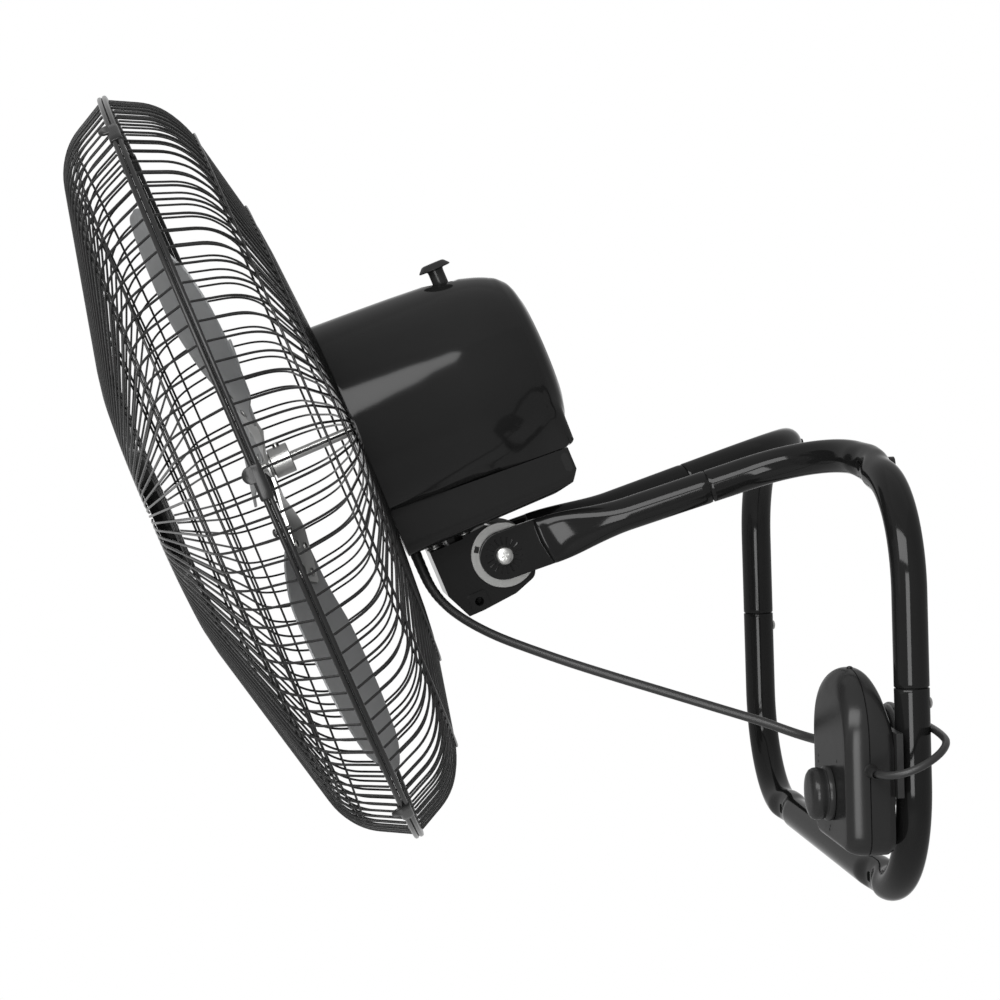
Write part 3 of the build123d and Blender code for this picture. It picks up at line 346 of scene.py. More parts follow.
def moved(part, matrix):
    verts, faces = part
    return [matrix @ Vector(v) for v in verts], faces


def sided(part, side):
    """A part of the right side (1), or its mirror image for the left (-1)."""
    return moved(part, Matrix.Scale(side, 4, X))


def about_z(angle):
    return Matrix.Rotation(angle, 4, "Z")


def axes_towards(direction, up=Z):
    """Three axes, the last of them in a direction."""
    z_axis = Vector(direction).normalized()
    x_axis = Vector(up).cross(z_axis)
    if x_axis.length < 1e-5:
        x_axis = X.copy()
    x_axis.normalize()
    return x_axis, z_axis.cross(x_axis), z_axis


def looking(origin, direction, up=Z):
    """A placing matrix whose Z points in a direction."""
    return basis(*axes_towards(direction, up), Vector([value * MM for value in origin]))


def circle(count):
    """Cosine and sine at even steps round a turn."""
    return [(cos(2 * pi * k / count), sin(2 * pi * k / count)) for k in range(count)]


def skin(rings, closed=False):
    """Faces between successive rings of points, and over both ends unless the rings close."""
    count = len(rings[0])
    verts = [point for ring in rings for point in ring]
    faces = []
    for i in range(len(rings) if closed else len(rings) - 1):
        here, there = i * count, (i + 1) % len(rings) * count
        for k in range(count):
            n = (k + 1) % count
            faces.append((here + k, here + n, there + n, there + k))
    if not closed:
        faces.append(tuple(reversed(range(count))))
        faces.append(tuple(range((len(rings) - 1) * count, len(rings) * count)))
    return verts, faces


def frames_along(path, closed=False):
    """A direction and two crosswise axes at each point of a path, turning as little as possible."""
    count = len(path)
    heads = []
    for i in range(count):
        before = path[i - 1] if i or closed else path[0]
        after = path[(i + 1) % count] if i < count - 1 or closed else path[-1]
        heads.append((after - before).normalized())
    side = heads[0].orthogonal().normalized()
    frames = []
    for head in heads:
        side = (side - head * side.dot(head)).normalized()
        frames.append((head, side, head.cross(side)))
    return frames


def tube(path, radius, sides, closed=False):
    """A round bar along a path, with one radius or a list with one for each point."""
    radii = radius if isinstance(radius, list) else [radius] * len(path)
    return skin([
        [point + (side * c + up * s) * reach for c, s in circle(sides)]
        for point, reach, (_, side, up) in zip(path, radii, frames_along(path, closed))
    ], closed)


def lathe(profile, turns):
    """A turned piece about Z, from a profile of (radius, height)."""
    rings, verts, faces = [], [], []
    for radius, height in profile:
        start = len(verts)
        if radius < 1e-4:
            verts.append((0.0, 0.0, height * MM))
        else:
            verts.extend((radius * MM * c, radius * MM * s, height * MM) for c, s in circle(turns))
        rings.append(range(start, len(verts)))
    for low, high in zip(rings, rings[1:]):
        for k in range(turns):
            n = (k + 1) % turns
            if len(low) == 1 and len(high) > 1:
                faces.append((low[0], high[k], high[n]))
            elif len(high) == 1 and len(low) > 1:
                faces.append((low[k], low[n], high[0]))
            elif len(low) > 1:
                faces.append((low[k], low[n], high[n], high[k]))
    return verts, faces


def turned(profile, turns, origin, direction, up=Z):
    """A turned piece at a place, with its axis in a direction."""
    return moved(lathe(profile, turns), looking(origin, direction, up))


def bar(radius, start, end):
    """The profile of a plain round bar."""
    return [(0, start), (radius, start), (radius, end), (0, end)]


def dome(radius, height, steps=6):
    """The profile of a low domed head, standing on height zero."""
    rise = height * 0.75
    arc = [pi / 2 * k / steps for k in range(1, steps + 1)]
    return [(0.0, 0.0), (radius, 0.0), (radius, height - rise)] + [
        (radius * cos(angle), height - rise + rise * sin(angle)) for angle in arc
    ]


def block(low, high):
    """A plain block between two corners."""
    (x0, y0, z0), (x1, y1, z1) = low, high
    verts = [
        Vector((x, y, z)) * MM for z in (z0, z1) for x, y in ((x0, y0), (x1, y0), (x1, y1), (x0, y1))
    ]
    return verts, [(3, 2, 1, 0), (4, 5, 6, 7), (0, 1, 5, 4), (1, 2, 6, 5), (2, 3, 7, 6), (3, 0, 4, 7)]


def rounded(corners, radii, step):
    """A path through corners, each rounded to a radius (in millimetres) in steps of some degrees."""
    corners = [Vector(c) for c in corners]
    path = [corners[0]]
    for before, corner, after, radius in zip(corners, corners[1:], corners[2:], radii):
        radius *= MM
        first, second = (corner - before).normalized(), (after - corner).normalized()
        turn = first.angle(second)
        start = corner - first * (radius * tan(turn / 2))
        inward = (second - first * cos(turn)).normalized()
        count = max(2, round(degrees(turn) / step))
        for k in range(count + 1):
            angle = turn * k / count
            path.append(start + inward * radius * (1 - cos(angle)) + first * radius * sin(angle))
    return path + [corners[-1]]


def divided(path, longest):
    """The same path with its long runs cut into shorter ones."""
    result = [path[0]]
    for start, end in zip(path, path[1:]):
        count = max(1, int((end - start).length / longest + 0.999))
        result.extend(start.lerp(end, (k + 1) / count) for k in range(count))
    return result


def superellipse(width, depth, power, count):
    """A closed outline between an oval (power 2) and a rectangle."""
    return [
        (abs(c) ** (2 / power) * (1 if c >= 0 else -1) * width / 2,
         abs(s) ** (2 / power) * (1 if s >= 0 else -1) * depth / 2)
        for c, s in circle(count)
    ]


def smoothstep(value):
    value = max(0.0, min(1.0, value))
    return value * value * (3 - 2 * value)


# ---- The stage ----

CAMERA_PLACE = Vector((2.6485, -0.6310, 0.3287))
CAMERA_YAW, CAMERA_PITCH, CAMERA_ROLL = radians(6.81), radians(3.899), radians(-1.966)
CAMERA_LENS, CAMERA_SENSOR = 108.2, 36.0
MIDDLE = Vector((0.0, -0.35, 0.12))
# Each lamp: its name, its place, its width and height, and its power.
LAMPS = (
    ("Key softbox", MIDDLE + Vector((0.72, -0.44, 0.53)).normalized() * 2.3, 2.2, 1.05, 125.0),
    ("Top softbox", MIDDLE + Vector((0.2, 0.2, 2.4)), 3.0, 3.0, 6.0),
    ("Front softbox", MIDDLE + Vector((0.6, -2.6, 0.5)), 1.2, 1.6, 3.0),
    ("Side strip", Vector((2.5, -1.0, -0.1)), 1.0, 1.5, 85.0),
)
SOFT_LIGHT = 0.62
FLOOR_HALF, FLOOR_Z, FLOOR_GREY = 14.0, -1.35, 0.85
GLOW_NEAR, GLOW_FAR, GLOW_NEAR_SHARE = 2.2, 3.8, 0.6


def camera_matrix():
    ahead = Vector((
        -cos(CAMERA_YAW) * cos(CAMERA_PITCH), sin(CAMERA_YAW) * cos(CAMERA_PITCH), -sin(CAMERA_PITCH)
    ))
    level = ahead.cross(Z).normalized()
    above = level.cross(ahead)
    right = level * cos(CAMERA_ROLL) + above * sin(CAMERA_ROLL)
    up = above * cos(CAMERA_ROLL) - level * sin(CAMERA_ROLL)
    return basis(right, up, -ahead, CAMERA_PLACE)


def add_mix(tree, share, first, second, output):
    """Mixes two shaders into the output of a material or a world."""
    mix = add_node(tree, "MixShader", {"Fac": share, 1: first, 2: second})
    feed(tree, tree.nodes[output], {"Surface": mix.outputs[0]})


def pale_surroundings(colour):
    """White where it is seen, also in metal and gloss, and softer as a light."""
    world = bpy.data.worlds.new("Pale studio")
    world.use_nodes = True
    bpy.context.scene.world = world
    tree = world.node_tree
    seen = tree.nodes["Background"]
    feed(tree, seen, {"Color": colour, "Strength": 1.0})
    soft = add_node(tree, "Background", {"Color": colour, "Strength": SOFT_LIGHT})
    kind = add_node(tree, "LightPath", {}).outputs
    clear = add_math(tree, "MAXIMUM", kind["Is Camera Ray"], kind["Is Transmission Ray"])
    clear = add_math(tree, "MAXIMUM", clear, kind["Is Glossy Ray"])
    add_mix(tree, clear, soft.outputs[0], seen.outputs[0], "World Output")


def pale_floor(colour):
    """White where it is seen, the more so further off, and grey as a light."""
    material = bpy.data.materials.new("Pale floor")
    material.use_nodes = True
    tree = material.node_tree
    shader = tree.nodes["Principled BSDF"]
    feed(tree, shader, {"Base Color": (FLOOR_GREY, FLOOR_GREY, FLOOR_GREY, 1.0), "Roughness": 0.9,
                        "Specular IOR Level": 0.0})
    glow = add_node(tree, "Emission", {"Color": colour, "Strength": 1.0})
    kind = add_node(tree, "LightPath", {}).outputs
    seen = add_math(tree, "MAXIMUM", kind["Is Camera Ray"], kind["Is Glossy Ray"])
    place = add_node(tree, "TexCoord", {}).outputs["Object"]
    away = add_node(tree, "VectorMath", {0: place}, operation="LENGTH").outputs["Value"]
    spread = add_range(tree, away, GLOW_NEAR, GLOW_FAR, GLOW_NEAR_SHARE, 1.0)
    add_mix(tree, add_math(tree, "MULTIPLY", seen, spread), shader.outputs[0], glow.outputs[0],
            "Material Output")
    return material


class FAN_OT_stage(bpy.types.Operator):
    """Camera, lights, surroundings and floor"""

    bl_idname = "fan.stage"
    bl_label = "Stage"

    def execute(self, context):
        scene = context.scene
        scene.view_settings.view_transform = "Standard"
        lens = bpy.data.cameras.new("Camera")
        lens.lens, lens.sensor_width = CAMERA_LENS, CAMERA_SENSOR
        lens.clip_start, lens.clip_end = 0.05, 60.0
        scene.camera = linked("Camera", lens)
        scene.camera.matrix_world = camera_matrix()
        colour = (*scene.fan_colours.background, 1.0)
        pale_surroundings(colour)
        for name, place, width, height, watts in LAMPS:
            lamp = bpy.data.lights.new(name, "AREA")
            lamp.shape = "RECTANGLE"
            lamp.size, lamp.size_y = width, height
            lamp.energy = watts
            linked(name, lamp).matrix_world = basis(*axes_towards(place - MIDDLE), place)
        ground = bpy.data.meshes.new("Floor")
        corners = ((-1, -1), (1, -1), (1, 1), (-1, 1))
        ground.from_pydata([(x * FLOOR_HALF, y * FLOOR_HALF, FLOOR_Z) for x, y in corners], [],
                           [(0, 1, 2, 3)])
        ground.materials.append(pale_floor(colour))
        linked("Floor", ground)
        return {"FINISHED"}


# ---- Cords ----

MOTOR_CORD_POINTS = (
    (-0.91, -394.29, 108.9), (-0.91, -387.09, 90.2), (3.0, -380.2, 72.5), (12.0, -369.0, 57.0),
    (25.0, -353.0, 44.0), (42.0, -328.5, 30.5), (58.0, -297.4, 18.4), (72.0, -265.2, 6.5),
    (86.0, -227.3, -6.2), (98.0, -185.8, -19.9), (110.0, -145.0, -33.5), (122.0, -108.0, -45.5),
    (135.5, -84.6, -54.5), (154.4, -69.8, -58.3), (177.0, -62.6, -58.0), (198.5, -62.6, -58.0),
)
MAINS_CORD_POINTS = (
    (316.5, -62.6, -60.5), (341.0, -62.6, -60.5), (356.5, -51.3, -59.5), (362.4, -33.3, -53.5),
    (356.5, -15.3, -44.5), (341.0, -4.4, -37.5), (321.0, -3.9, -34.0), (286.0, -4.2, -32.4),
    (250.0, -5.4, -32.7),
)
MAINS_TAIL_POINTS = (
    (198.0, -14.4, -25.3), (178.0, -14.3, -30.5), (164.5, -14.1, -43.0), (160.0, -14.0, -60.0),
    (160.0, -14.0, -76.0),
)
CORD_SIDES, CORD_RUN = 20, 4.0 * MM
SLEEVE_END = Vector((0.012, -0.369, 0.057))
SLEEVE_SWELL, SLEEVE_GROOVE = 1.3 * MM, 0.25 * MM
# SLEEVE_END: where the motor cord's ribbed sleeve ends.
MAINS_SLEEVE_PROFILE = (
    (3.3, 0), (4.9, 0), (4.9, 5), (4.6, 6), (4.8, 7), (4.3, 11), (4.1, 12), (4.2, 13), (3.8, 18),
    (3.7, 21.5), (3.5, 22), (3.3, 22), (3.3, 0),
)
COIL_CENTRE = (216.0, -64.5)
COIL_START_Y = -5.4
COIL_RADII = (31.8, 39.2)
COIL_PITCH = 7.2
COIL_INNER_TURNS, COIL_STEP, COIL_OUTER_TURNS = 4.0, 0.25, 2.75
COIL_POINTS_A_TURN = 16


def coil_place(turns):
    """A point of the put-away coil: a layer outwards from the wall, then one back."""
    angle = 2 * pi * turns
    lift = smoothstep((turns - COIL_INNER_TURNS) / COIL_STEP)
    inner, outer = COIL_RADII
    radius = (inner + (outer - inner) * lift) / cos(pi / COIL_POINTS_A_TURN)
    back = max(turns - COIL_INNER_TURNS - COIL_STEP, 0.0)
    forward = COIL_PITCH * min(turns, COIL_INNER_TURNS) - COIL_PITCH * back
    return (
        COIL_CENTRE[0] - radius * sin(angle), COIL_START_Y - forward,
        COIL_CENTRE[1] + radius * cos(angle),
    )


def cord_curve(name, points, diameter):
    """A smooth cord along its route's points, and the line through its middle."""
    curve = bpy.data.curves.new(name, "CURVE")
    curve.dimensions = "3D"
    curve.resolution_u = 8
    spline = curve.splines.new("NURBS")
    spline.points.add(len(points) - 1)
    for target, point in zip(spline.points, points):
        target.co = (*(value * MM for value in point), 1.0)
    spline.order_u = 3
    spline.use_endpoint_u = True
    curve.use_fill_caps = True
    piece = linked(name, curve)
    line = [v.co.copy() for v in bpy.data.meshes.new_from_object(piece).vertices]
    curve.bevel_depth = diameter / 2
    curve.bevel_resolution = 5
    return piece, line


class FAN_OT_cords(bpy.types.Operator):
    """Motor cord, mains cord with its coil, and the plug"""

    bl_idname = "fan.cords"
    bl_label = "Cords"

    def execute(self, context):
        self.motor_cord(context.scene.fan_sizes.motor_cord)
        self.mains_cord(context.scene.fan_sizes.mains_cord)
        carry_over("plug_body", "dull", 1.2)
        carry_over("plug_pins", "brass", 0.5)
        carry_over("coil_tie", "dull", 0.3)
        return {"FINISHED"}

    def motor_cord(self, diameter):
        """A ribbed sleeve from the head to the neck, and the cord from there to the box."""
        route, line = cord_curve("motor_cord_route", MOTOR_CORD_POINTS, diameter)
        bpy.data.objects.remove(route)
        line = divided(line, CORD_RUN)
        turn = min(range(len(line)), key=lambda k: (line[k] - SLEEVE_END).length)
        boot, line = line[:turn + 2], line[turn:]
        last = len(boot) - 1
        radii = [
            diameter / 2 + SLEEVE_SWELL * (1 - k / last) - SLEEVE_GROOVE * (k % 2)
            for k in range(last + 1)
        ]
        sleeve = add_piece("motor_cord_sleeve", tube(boot, radii, CORD_SIDES), "dull", None, crease=60.0)
        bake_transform(sleeve)
        cord = add_piece("motor_cord_sheath", tube(line, diameter / 2, CORD_SIDES), "sheath", None,
                         hides=("motor_cord",), crease=60.0)
        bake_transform(cord)

    def mains_cord(self, diameter):
        """The lead from the box, round the leg and through the coil to the plug."""
        turns = COIL_INNER_TURNS + COIL_STEP + COIL_OUTER_TURNS
        count = round(turns * COIL_POINTS_A_TURN)
        coil = [coil_place(k / COIL_POINTS_A_TURN) for k in range(1, count)]
        points = (*MAINS_CORD_POINTS, *coil, *MAINS_TAIL_POINTS)
        lead, line = cord_curve("mains_lead", points, diameter)
        lead.data.materials.append(finish("sheath"))
        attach(lead, "bracket")
        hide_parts("mains_cord", "mains_coil", "mains_tail")
        sleeve = turned(MAINS_SLEEVE_PROFILE, 40, (317.5, -62.6, -60.5), X)
        relief = add_piece("mains_cord_sleeve", sleeve, "dull", "bracket")


# ---- Bracket ----

SIDES = ((1, "right"), (-1, "left"))
WALL_GAP = 7.5
LEG_X = 300.0
HOLE, HOLE_RADIUS = 175.0, 4.5
BAR_SLOPE = radians(8.1)
LOOP_BENDS, UPPER_BENDS = (100.0, 100.0), (90.0, 95.0)
LEG_JOINT_Z, ARM_JOINT_DISTANCE, JOINT_GAP = 2.5, 120.7, 0.8
SPIGOT_RADIUS, SPIGOT_HALF = 12.8 * MM, 20.0 * MM
PRESS_HEIGHT, PRESS_DEPTH, PRESS_HALF, PRESS_FADE = 31.5, 24.0, 6.0, 28.0
PRESS_PROUD = 0.3
TUBE_SIDES, TUBE_STEP, TUBE_RUN, TUBE_LIP = 56, 4.0, 4.0 * MM, 0.6 * MM
SPACER_PROFILE = ((4.6, 0.2), (6.4, 0.2), (6.6, 0.6), (6.6, 6.6), (6.2, 7.2), (4.6, 7.2), (4.6, 0.2))
ARM_CORNER_X = 72.0
DETENT_INSIDE, ARM_INSIDE = 25.2, 27.25
ARM_END_THICKNESS, ARM_END_WIDTH, ARM_TIP = 6.4, 43.0, 22.0
ARM_SIDES, ARM_LIP = 64, 0.5
FLAT_FROM, SHOULDER_FROM, SHOULDER_THICKNESS, SHOULDER_BOW = 115.0, 38.0, 12.8, 3.2
# How the arm steps down to its eye: the distance from the pivot, the thickness and the squareness.
SHOULDER_STEP = (
    (36.6, 12.6, 2.5), (35.7, 11.8, 2.9), (35.1, 10.4, 3.6), (34.8, 8.6, 4.8), (34.6, 7.2, 6.8),
    (34.1, 6.5, 9.0), (33.4, 6.4, 12.0),
)
RIDGE_COUNT = 18
DISC_PROFILE = ((4.1, 0), (28.6, 0), (29, 0.4), (29, 1.6), (28.6, 2), (4.1, 2), (4.1, 0))
MARK_ANGLE, CROSS_ANGLE = radians(167.0), radians(24.0)
TILT_SCREW_PROFILE = ((0, 0), (8.6, 0), (8.6, 0.9), (8.2, 2.4), (6.9, 3.9), (4.6, 4.7), (0, 5.0))


def tube_y():
    return -(WALL_GAP * MM + bpy.context.scene.fan_sizes.tube / 2)


def shoulder_corner():
    return Vector((LEG_X * MM, tube_y(), (HOLE - (LEG_X - HOLE) * tan(BAR_SLOPE)) * MM))


def arm_corner():
    return Vector((ARM_CORNER_X * MM, tube_y(), (HOLE + (HOLE - ARM_CORNER_X) * tan(BAR_SLOPE)) * MM))


def arm_end():
    return Vector(((ARM_INSIDE + ARM_END_THICKNESS / 2) * MM, PIVOT.y, PIVOT.z))


def bracket_tube(corners, bends, presses):
    """A bent tube with eased ends, its section pressed flat and wide near some points of it."""
    radius = bpy.context.scene.fan_sizes.tube / 2
    path = divided(rounded(corners, bends, TUBE_STEP), TUBE_RUN)
    first = path[0] + (path[1] - path[0]).normalized() * TUBE_LIP
    last = path[-1] + (path[-2] - path[-1]).normalized() * TUBE_LIP
    path = [path[0], first, *path[1:-1], last, path[-1]]
    rings = []
    for index, (point, (head, _, _)) in enumerate(zip(path, frames_along(path))):
        nearest = min((point - press).length for press in presses) / MM
        press = 1.0 - smoothstep((nearest - PRESS_HALF) / PRESS_FADE)
        depth_axis = (Y - head * head.dot(Y)).normalized()
        width_axis = head.cross(depth_axis)
        width = radius * (1 - press) + PRESS_HEIGHT / 2 * MM * press
        depth = radius * (1 - press) + PRESS_DEPTH / 2 * MM * press
        shift = (radius + PRESS_PROUD * MM - PRESS_DEPTH / 2 * MM) * press
        shrink = TUBE_LIP if index in (0, len(path) - 1) else 0.0
        outline = superellipse(2 * (width - shrink), 2 * (depth - shrink), 2.0 + 0.4 * press, TUBE_SIDES)
        rings.append([point + Y * shift + width_axis * x + depth_axis * y for x, y in outline])
    return skin(rings)


def screw_hole(x, z):
    return turned(bar(HOLE_RADIUS, -50.0, 50.0), 40, (x, -30.0, z), -Y)


class FAN_OT_wall_tubes(bpy.types.Operator):
    """Lower loop and the two upper bends, with their joints and wall spacers"""

    bl_idname = "fan.wall_tubes"
    bl_label = "Wall tubes"

    def execute(self, context):
        y, leg, hole = tube_y(), LEG_X * MM, HOLE * MM
        top = (LEG_JOINT_Z - JOINT_GAP / 2) * MM
        corners = [(-leg, y, top), (-leg, y, -hole), (leg, y, -hole), (leg, y, top)]
        presses = [Vector((side * hole, y, -hole)) for side in (-1, 1)]
        loop = add_piece("lower_tube", bracket_tube(corners, LOOP_BENDS, presses), "paint", "bracket",
                         hides=("wall_loop",), crease=50.0)
        cut(loop, screw_hole(-HOLE, -HOLE), screw_hole(HOLE, -HOLE))
        corner, end = arm_corner(), arm_end()
        direction = (end - corner).normalized()
        arm_joint = corner + direction * (ARM_JOINT_DISTANCE - JOINT_GAP / 2) * MM
        corners = [(leg, y, (LEG_JOINT_Z + JOINT_GAP / 2) * MM), shoulder_corner(), corner, arm_joint]
        upper = bracket_tube(corners, UPPER_BENDS, [Vector((hole, y, hole))])
        spigots = merge(*[
            tube([joint - along * SPIGOT_HALF, joint + along * SPIGOT_HALF], SPIGOT_RADIUS, 40)
            for joint, along in ((Vector((leg, y, 0.0)), Z), (arm_joint, direction))
        ])
        for side, name in SIDES:
            bend = add_piece("upper_tube_" + name, sided(upper, side), "paint", "bracket",
                             hides=("upper_bend_" + name,), crease=50.0)
            cut(bend, screw_hole(side * HOLE, HOLE))
            # The spigots are near black so the gaps at the joints show dark: painted shade.
            add_piece("tube_spigots_" + name, sided(spigots, side), "recess", "bracket")
            screw = turned(dome(4.6, 2.6), 40, (side * LEG_X, -WALL_GAP - 0.4, -10.8), Y)
            add_piece("joint_screw_" + name, screw, "steel", "bracket")
        spacers = [
            turned(SPACER_PROFILE, 40, (x, 0.0, z), -Y) for x in (-HOLE, HOLE) for z in (-HOLE, HOLE)
        ]
        add_piece("tube_spacers", merge(*spacers), "dull", "bracket", hides=("wall_spacers",))
        return {"FINISHED"}


def arm_part():
    """The right arm: round at its joint, flattened to an oval, then stepped down to a flat eye."""
    corner, end = arm_corner(), arm_end()
    direction = (end - corner).normalized()
    start = corner + direction * (ARM_JOINT_DISTANCE + JOINT_GAP / 2) * MM
    rise = atan2(corner.z - end.z, corner.y - end.y)
    back = Vector((0.0, cos(rise), sin(rise)))
    across = Vector((0.0, -sin(rise), cos(rise)))
    side_axis = (direction * -1).cross(across).normalized()
    inside, plate, eye = ARM_INSIDE * MM, ARM_END_THICKNESS * MM, ARM_END_WIDTH * MM
    round_width = bpy.context.scene.fan_sizes.tube
    rings = []

    def add_ring(centre, thick_axis, width, thickness, power, bow=0.0):
        """A section, drawn back along the arm towards its lower edge."""
        rings.append([
            centre + across * x + thick_axis * z
            + back * bow * MM * (min((2 * x / width) ** 2, 1.0) - 2 * x / width)
            for x, z in superellipse(width, thickness, power, ARM_SIDES)
        ])

    run = (end - start).length - FLAT_FROM * MM
    for k in range(25):
        width = round_width - (2 * ARM_LIP * MM if k == 0 else 0.0)
        add_ring(start + direction * (run * k / 24), side_axis, width, width, 2.0)
    for k in range(1, 25):
        share = k / 24
        ease = smoothstep(share)
        width = round_width + (eye - round_width) * ease
        thickness = round_width + (SHOULDER_THICKNESS * MM - round_width) * smoothstep(share * 1.05)
        distance = (FLAT_FROM + (SHOULDER_FROM - FLAT_FROM) * share) * MM
        flat = end + back * distance
        flat.x = inside + thickness / 2
        add_ring((end - direction * distance).lerp(flat, ease), side_axis.lerp(X, ease).normalized(),
                 width, thickness, 2.0 + 0.4 * ease, SHOULDER_BOW * smoothstep(share * 1.6 - 0.6))
    for distance, thickness, power in SHOULDER_STEP:
        centre = end + back * distance * MM
        centre.x = inside + thickness / 2 * MM
        add_ring(centre, X, eye, thickness * MM, power, SHOULDER_BOW)
    for k in range(23):
        angle = pi / 2 * k / 22
        centre = end - back * (ARM_TIP * MM - eye / 2 * (1 - sin(angle)))
        centre.x = inside + plate / 2
        add_ring(centre, X, max(eye * cos(angle), 1.0 * MM), plate, 12.0)
    return skin(rings)


def ridge_part(start, end, half_start, half_end, height):
    """A low roof-shaped ridge along X, wider towards its end."""
    base = [(start, -half_start), (end, -half_end), (end, half_end), (start, half_start)]
    verts = [Vector((x, y, -0.1)) * MM for x, y in base]
    verts += [Vector((start + 0.6, 0, height * 0.7)) * MM, Vector((end - 0.6, 0, height)) * MM]
    return verts, [(3, 2, 1, 0), (0, 1, 5, 4), (2, 3, 4, 5), (1, 2, 5), (3, 0, 4)]


def pivot_looking(side, x):
    """A placing matrix on the tilt pivot that looks outwards on one side."""
    return basis(Y * side, Z, X * side, Vector((side * x * MM, PIVOT.y, PIVOT.z)))


class FAN_OT_arms(bpy.types.Operator):
    """Two arms with flattened eyes, the discs behind them and the pivot's screw"""

    bl_idname = "fan.arms"
    bl_label = "Arms and pivot"

    def execute(self, context):
        part = arm_part()
        outside = ARM_INSIDE + ARM_END_THICKNESS
        ridges = merge(*[
            moved(ridge_part(9.8, 16.4, 0.7, 1.3, 0.7), about_z(2 * pi * k / RIDGE_COUNT))
            for k in range(RIDGE_COUNT)
        ])
        for side, name in SIDES:
            add_piece("arm_tube_" + name, sided(part, side), "paint", "bracket",
                      hides=("arm_" + name,), crease=38.0)
            add_piece("press_marks_" + name, moved(ridges, pivot_looking(side, outside)), "paint",
                      "bracket")
            place = pivot_looking(side, DETENT_INSIDE)
            add_piece("toothed_disc_" + name, moved(lathe(DISC_PROFILE, 128), place), "disc steel",
                      "bracket", hides=("detent_disc_" + name,))
            mark = moved(block((22.2, -2.9, 1.9), (26.4, 2.9, 2.15)), place @ about_z(MARK_ANGLE))
            add_piece("disc_mark_" + name, mark, "recess", "bracket")
        place = pivot_looking(1, outside + 0.05)
        screw = add_piece("tilt_screw", moved(lathe(TILT_SCREW_PROFILE, 64), place), "steel", "bracket",
                          hides=("tilt_bolt",))
        for x, y in ((3.6, 0.8), (0.8, 3.6)):
            slot = block((-x, -y, 3.0), (x, y, 6.0))
            cut(screw, moved(slot, place @ about_z(CROSS_ANGLE)))
        shank = [Vector((x * MM, PIVOT.y, PIVOT.z)) for x in (-38.0, 33.0)]
        add_piece("tilt_shank", tube(shank, 4.0 * MM, 32), "dark steel", "bracket")
        carry_over("tilt_nut", "steel", 0.5)
        return {"FINISHED"}


# ---- Neck ----

EYE_PLACE = (0.0, -181.4, -129.0)
BOLT_PLACES = tuple((x, y, s) for x in (-14.5, 14.5) for y, s in ((-124.2, -112.0), (-122.6, -141.0)))
BOLT_PROFILE = ((0, 0), (5.6, 0), (5.6, 1.0), (4.3, 1.4), (4.0, 3.2), (3.0, 3.8), (0, 4.0))


class FAN_OT_neck(bpy.types.Operator):
    """Neck block, collar and the bolts beside it"""

    bl_idname = "fan.neck"
    bl_label = "Neck"

    def execute(self, context):
        carry_over("neck_block", "paint", 2.4)
        # A near-black plug inside the neck block's eye: painted shade of the hole.
        eye = turned(bar(3.96, -5.5, 5.5), 32, EYE_PLACE, X)
        add_piece("neck_eye_shadow", eye, "recess", "neck")
        carry_over("pan_collar", "paint", 0.8)
        carry_over("pan_spindle", "steel")
        bolts = [turned(BOLT_PROFILE, 32, place, Y) for place in BOLT_PLACES]
        add_piece("neck_bolts", merge(*bolts), "dark steel", "neck")
        return {"FINISHED"}


# ---- Motor housing ----

MOTOR_FRONT, MOTOR_BACK = -85.0, -268.0
HOUSING_PROFILE = (
    (-85.0, 98.0), (-120.0, 96.4), (-160.0, 94.3), (-199.0, 91.5), (-222.0, 87.0), (-243.0, 80.5),
    (-255.0, 74.2), (-262.5, 66.5), (-266.4, 57.0), (-268.0, 46.0),
)
# The housing's sections: the eased front edge with its insets, the run back, and the closed end.
HOUSING_EDGE = ((-85.0, 1.2), (-85.3, 0.3), (-86.0, 0.0))
HOUSING_RUN = (
    *[-86.0 - 4.0 * k for k in range(1, 40)], *[-244.0 - 1.5 * k for k in range(1, 13)],
    -263.5, -265.0, -266.4, -267.4, -268.0,
)
HOUSING_END = ((0.9, -268.5), (0.7, -269.0), (0.4, -269.4), (0.1, -269.5))
HOUSING_EASE, TAIL_EASE, TAIL_FROM = 7.0, 1.5, -250.0
SEAM_FRONT, SEAM_BACK = -74.0, -84.0
SKIRT_HALF, SKIRT_BACK, SKIRT_CORNER, SKIRT_FILLET, SKIRT_LIMIT = 56.0, -262.0, 14.0, 9.0, 400.0
HEEL_RADIUS = 8.0
SLICES = 96
KNOB_PROFILE = (
    (0.0, 62.0), (6.4, 62.0), (7.0, 62.6), (6.9, 99.0), (7.2, 101.0), (8.4, 101.9), (13.6, 101.9),
    (14.4, 102.3), (14.5, 102.8), (14.2, 103.3), (10.8, 106.9), (9.8, 107.5), (8.6, 107.8),
    (3.0, 107.9), (0.0, 107.9),
)
KNOB_PLACE = (0.0, 0.0, -209.0)
POCKET_BACK, POCKET_SHIFT, POCKET_RADIUS = -212.5, 7.0, 13.2
POCKET_WALLS = ((86.0, 0.0), (88.0, 1.2), (110.0, 3.5))
SLOT_PLACE = (56.0, -95.5, -246.2)


def seam_height(s):
    return SEAM_FRONT + (s - MOTOR_FRONT) * (SEAM_FRONT - SEAM_BACK) / (MOTOR_FRONT - MOTOR_BACK)


def profile_radius(s):
    for (s0, r0), (s1, r1) in zip(HOUSING_PROFILE, HOUSING_PROFILE[1:]):
        if s >= s1:
            return r0 + (r1 - r0) * (s0 - s) / (s0 - s1)
    return HOUSING_PROFILE[-1][1]


def smooth_radius(s):
    """The housing's radius, with the corners between its profile's runs eased."""
    width = TAIL_EASE if s < TAIL_FROM else HOUSING_EASE
    around = [max(min(s + width * k / 4, MOTOR_FRONT), MOTOR_BACK) for k in range(-4, 5)]
    return sum(profile_radius(place) for place in around) / len(around)


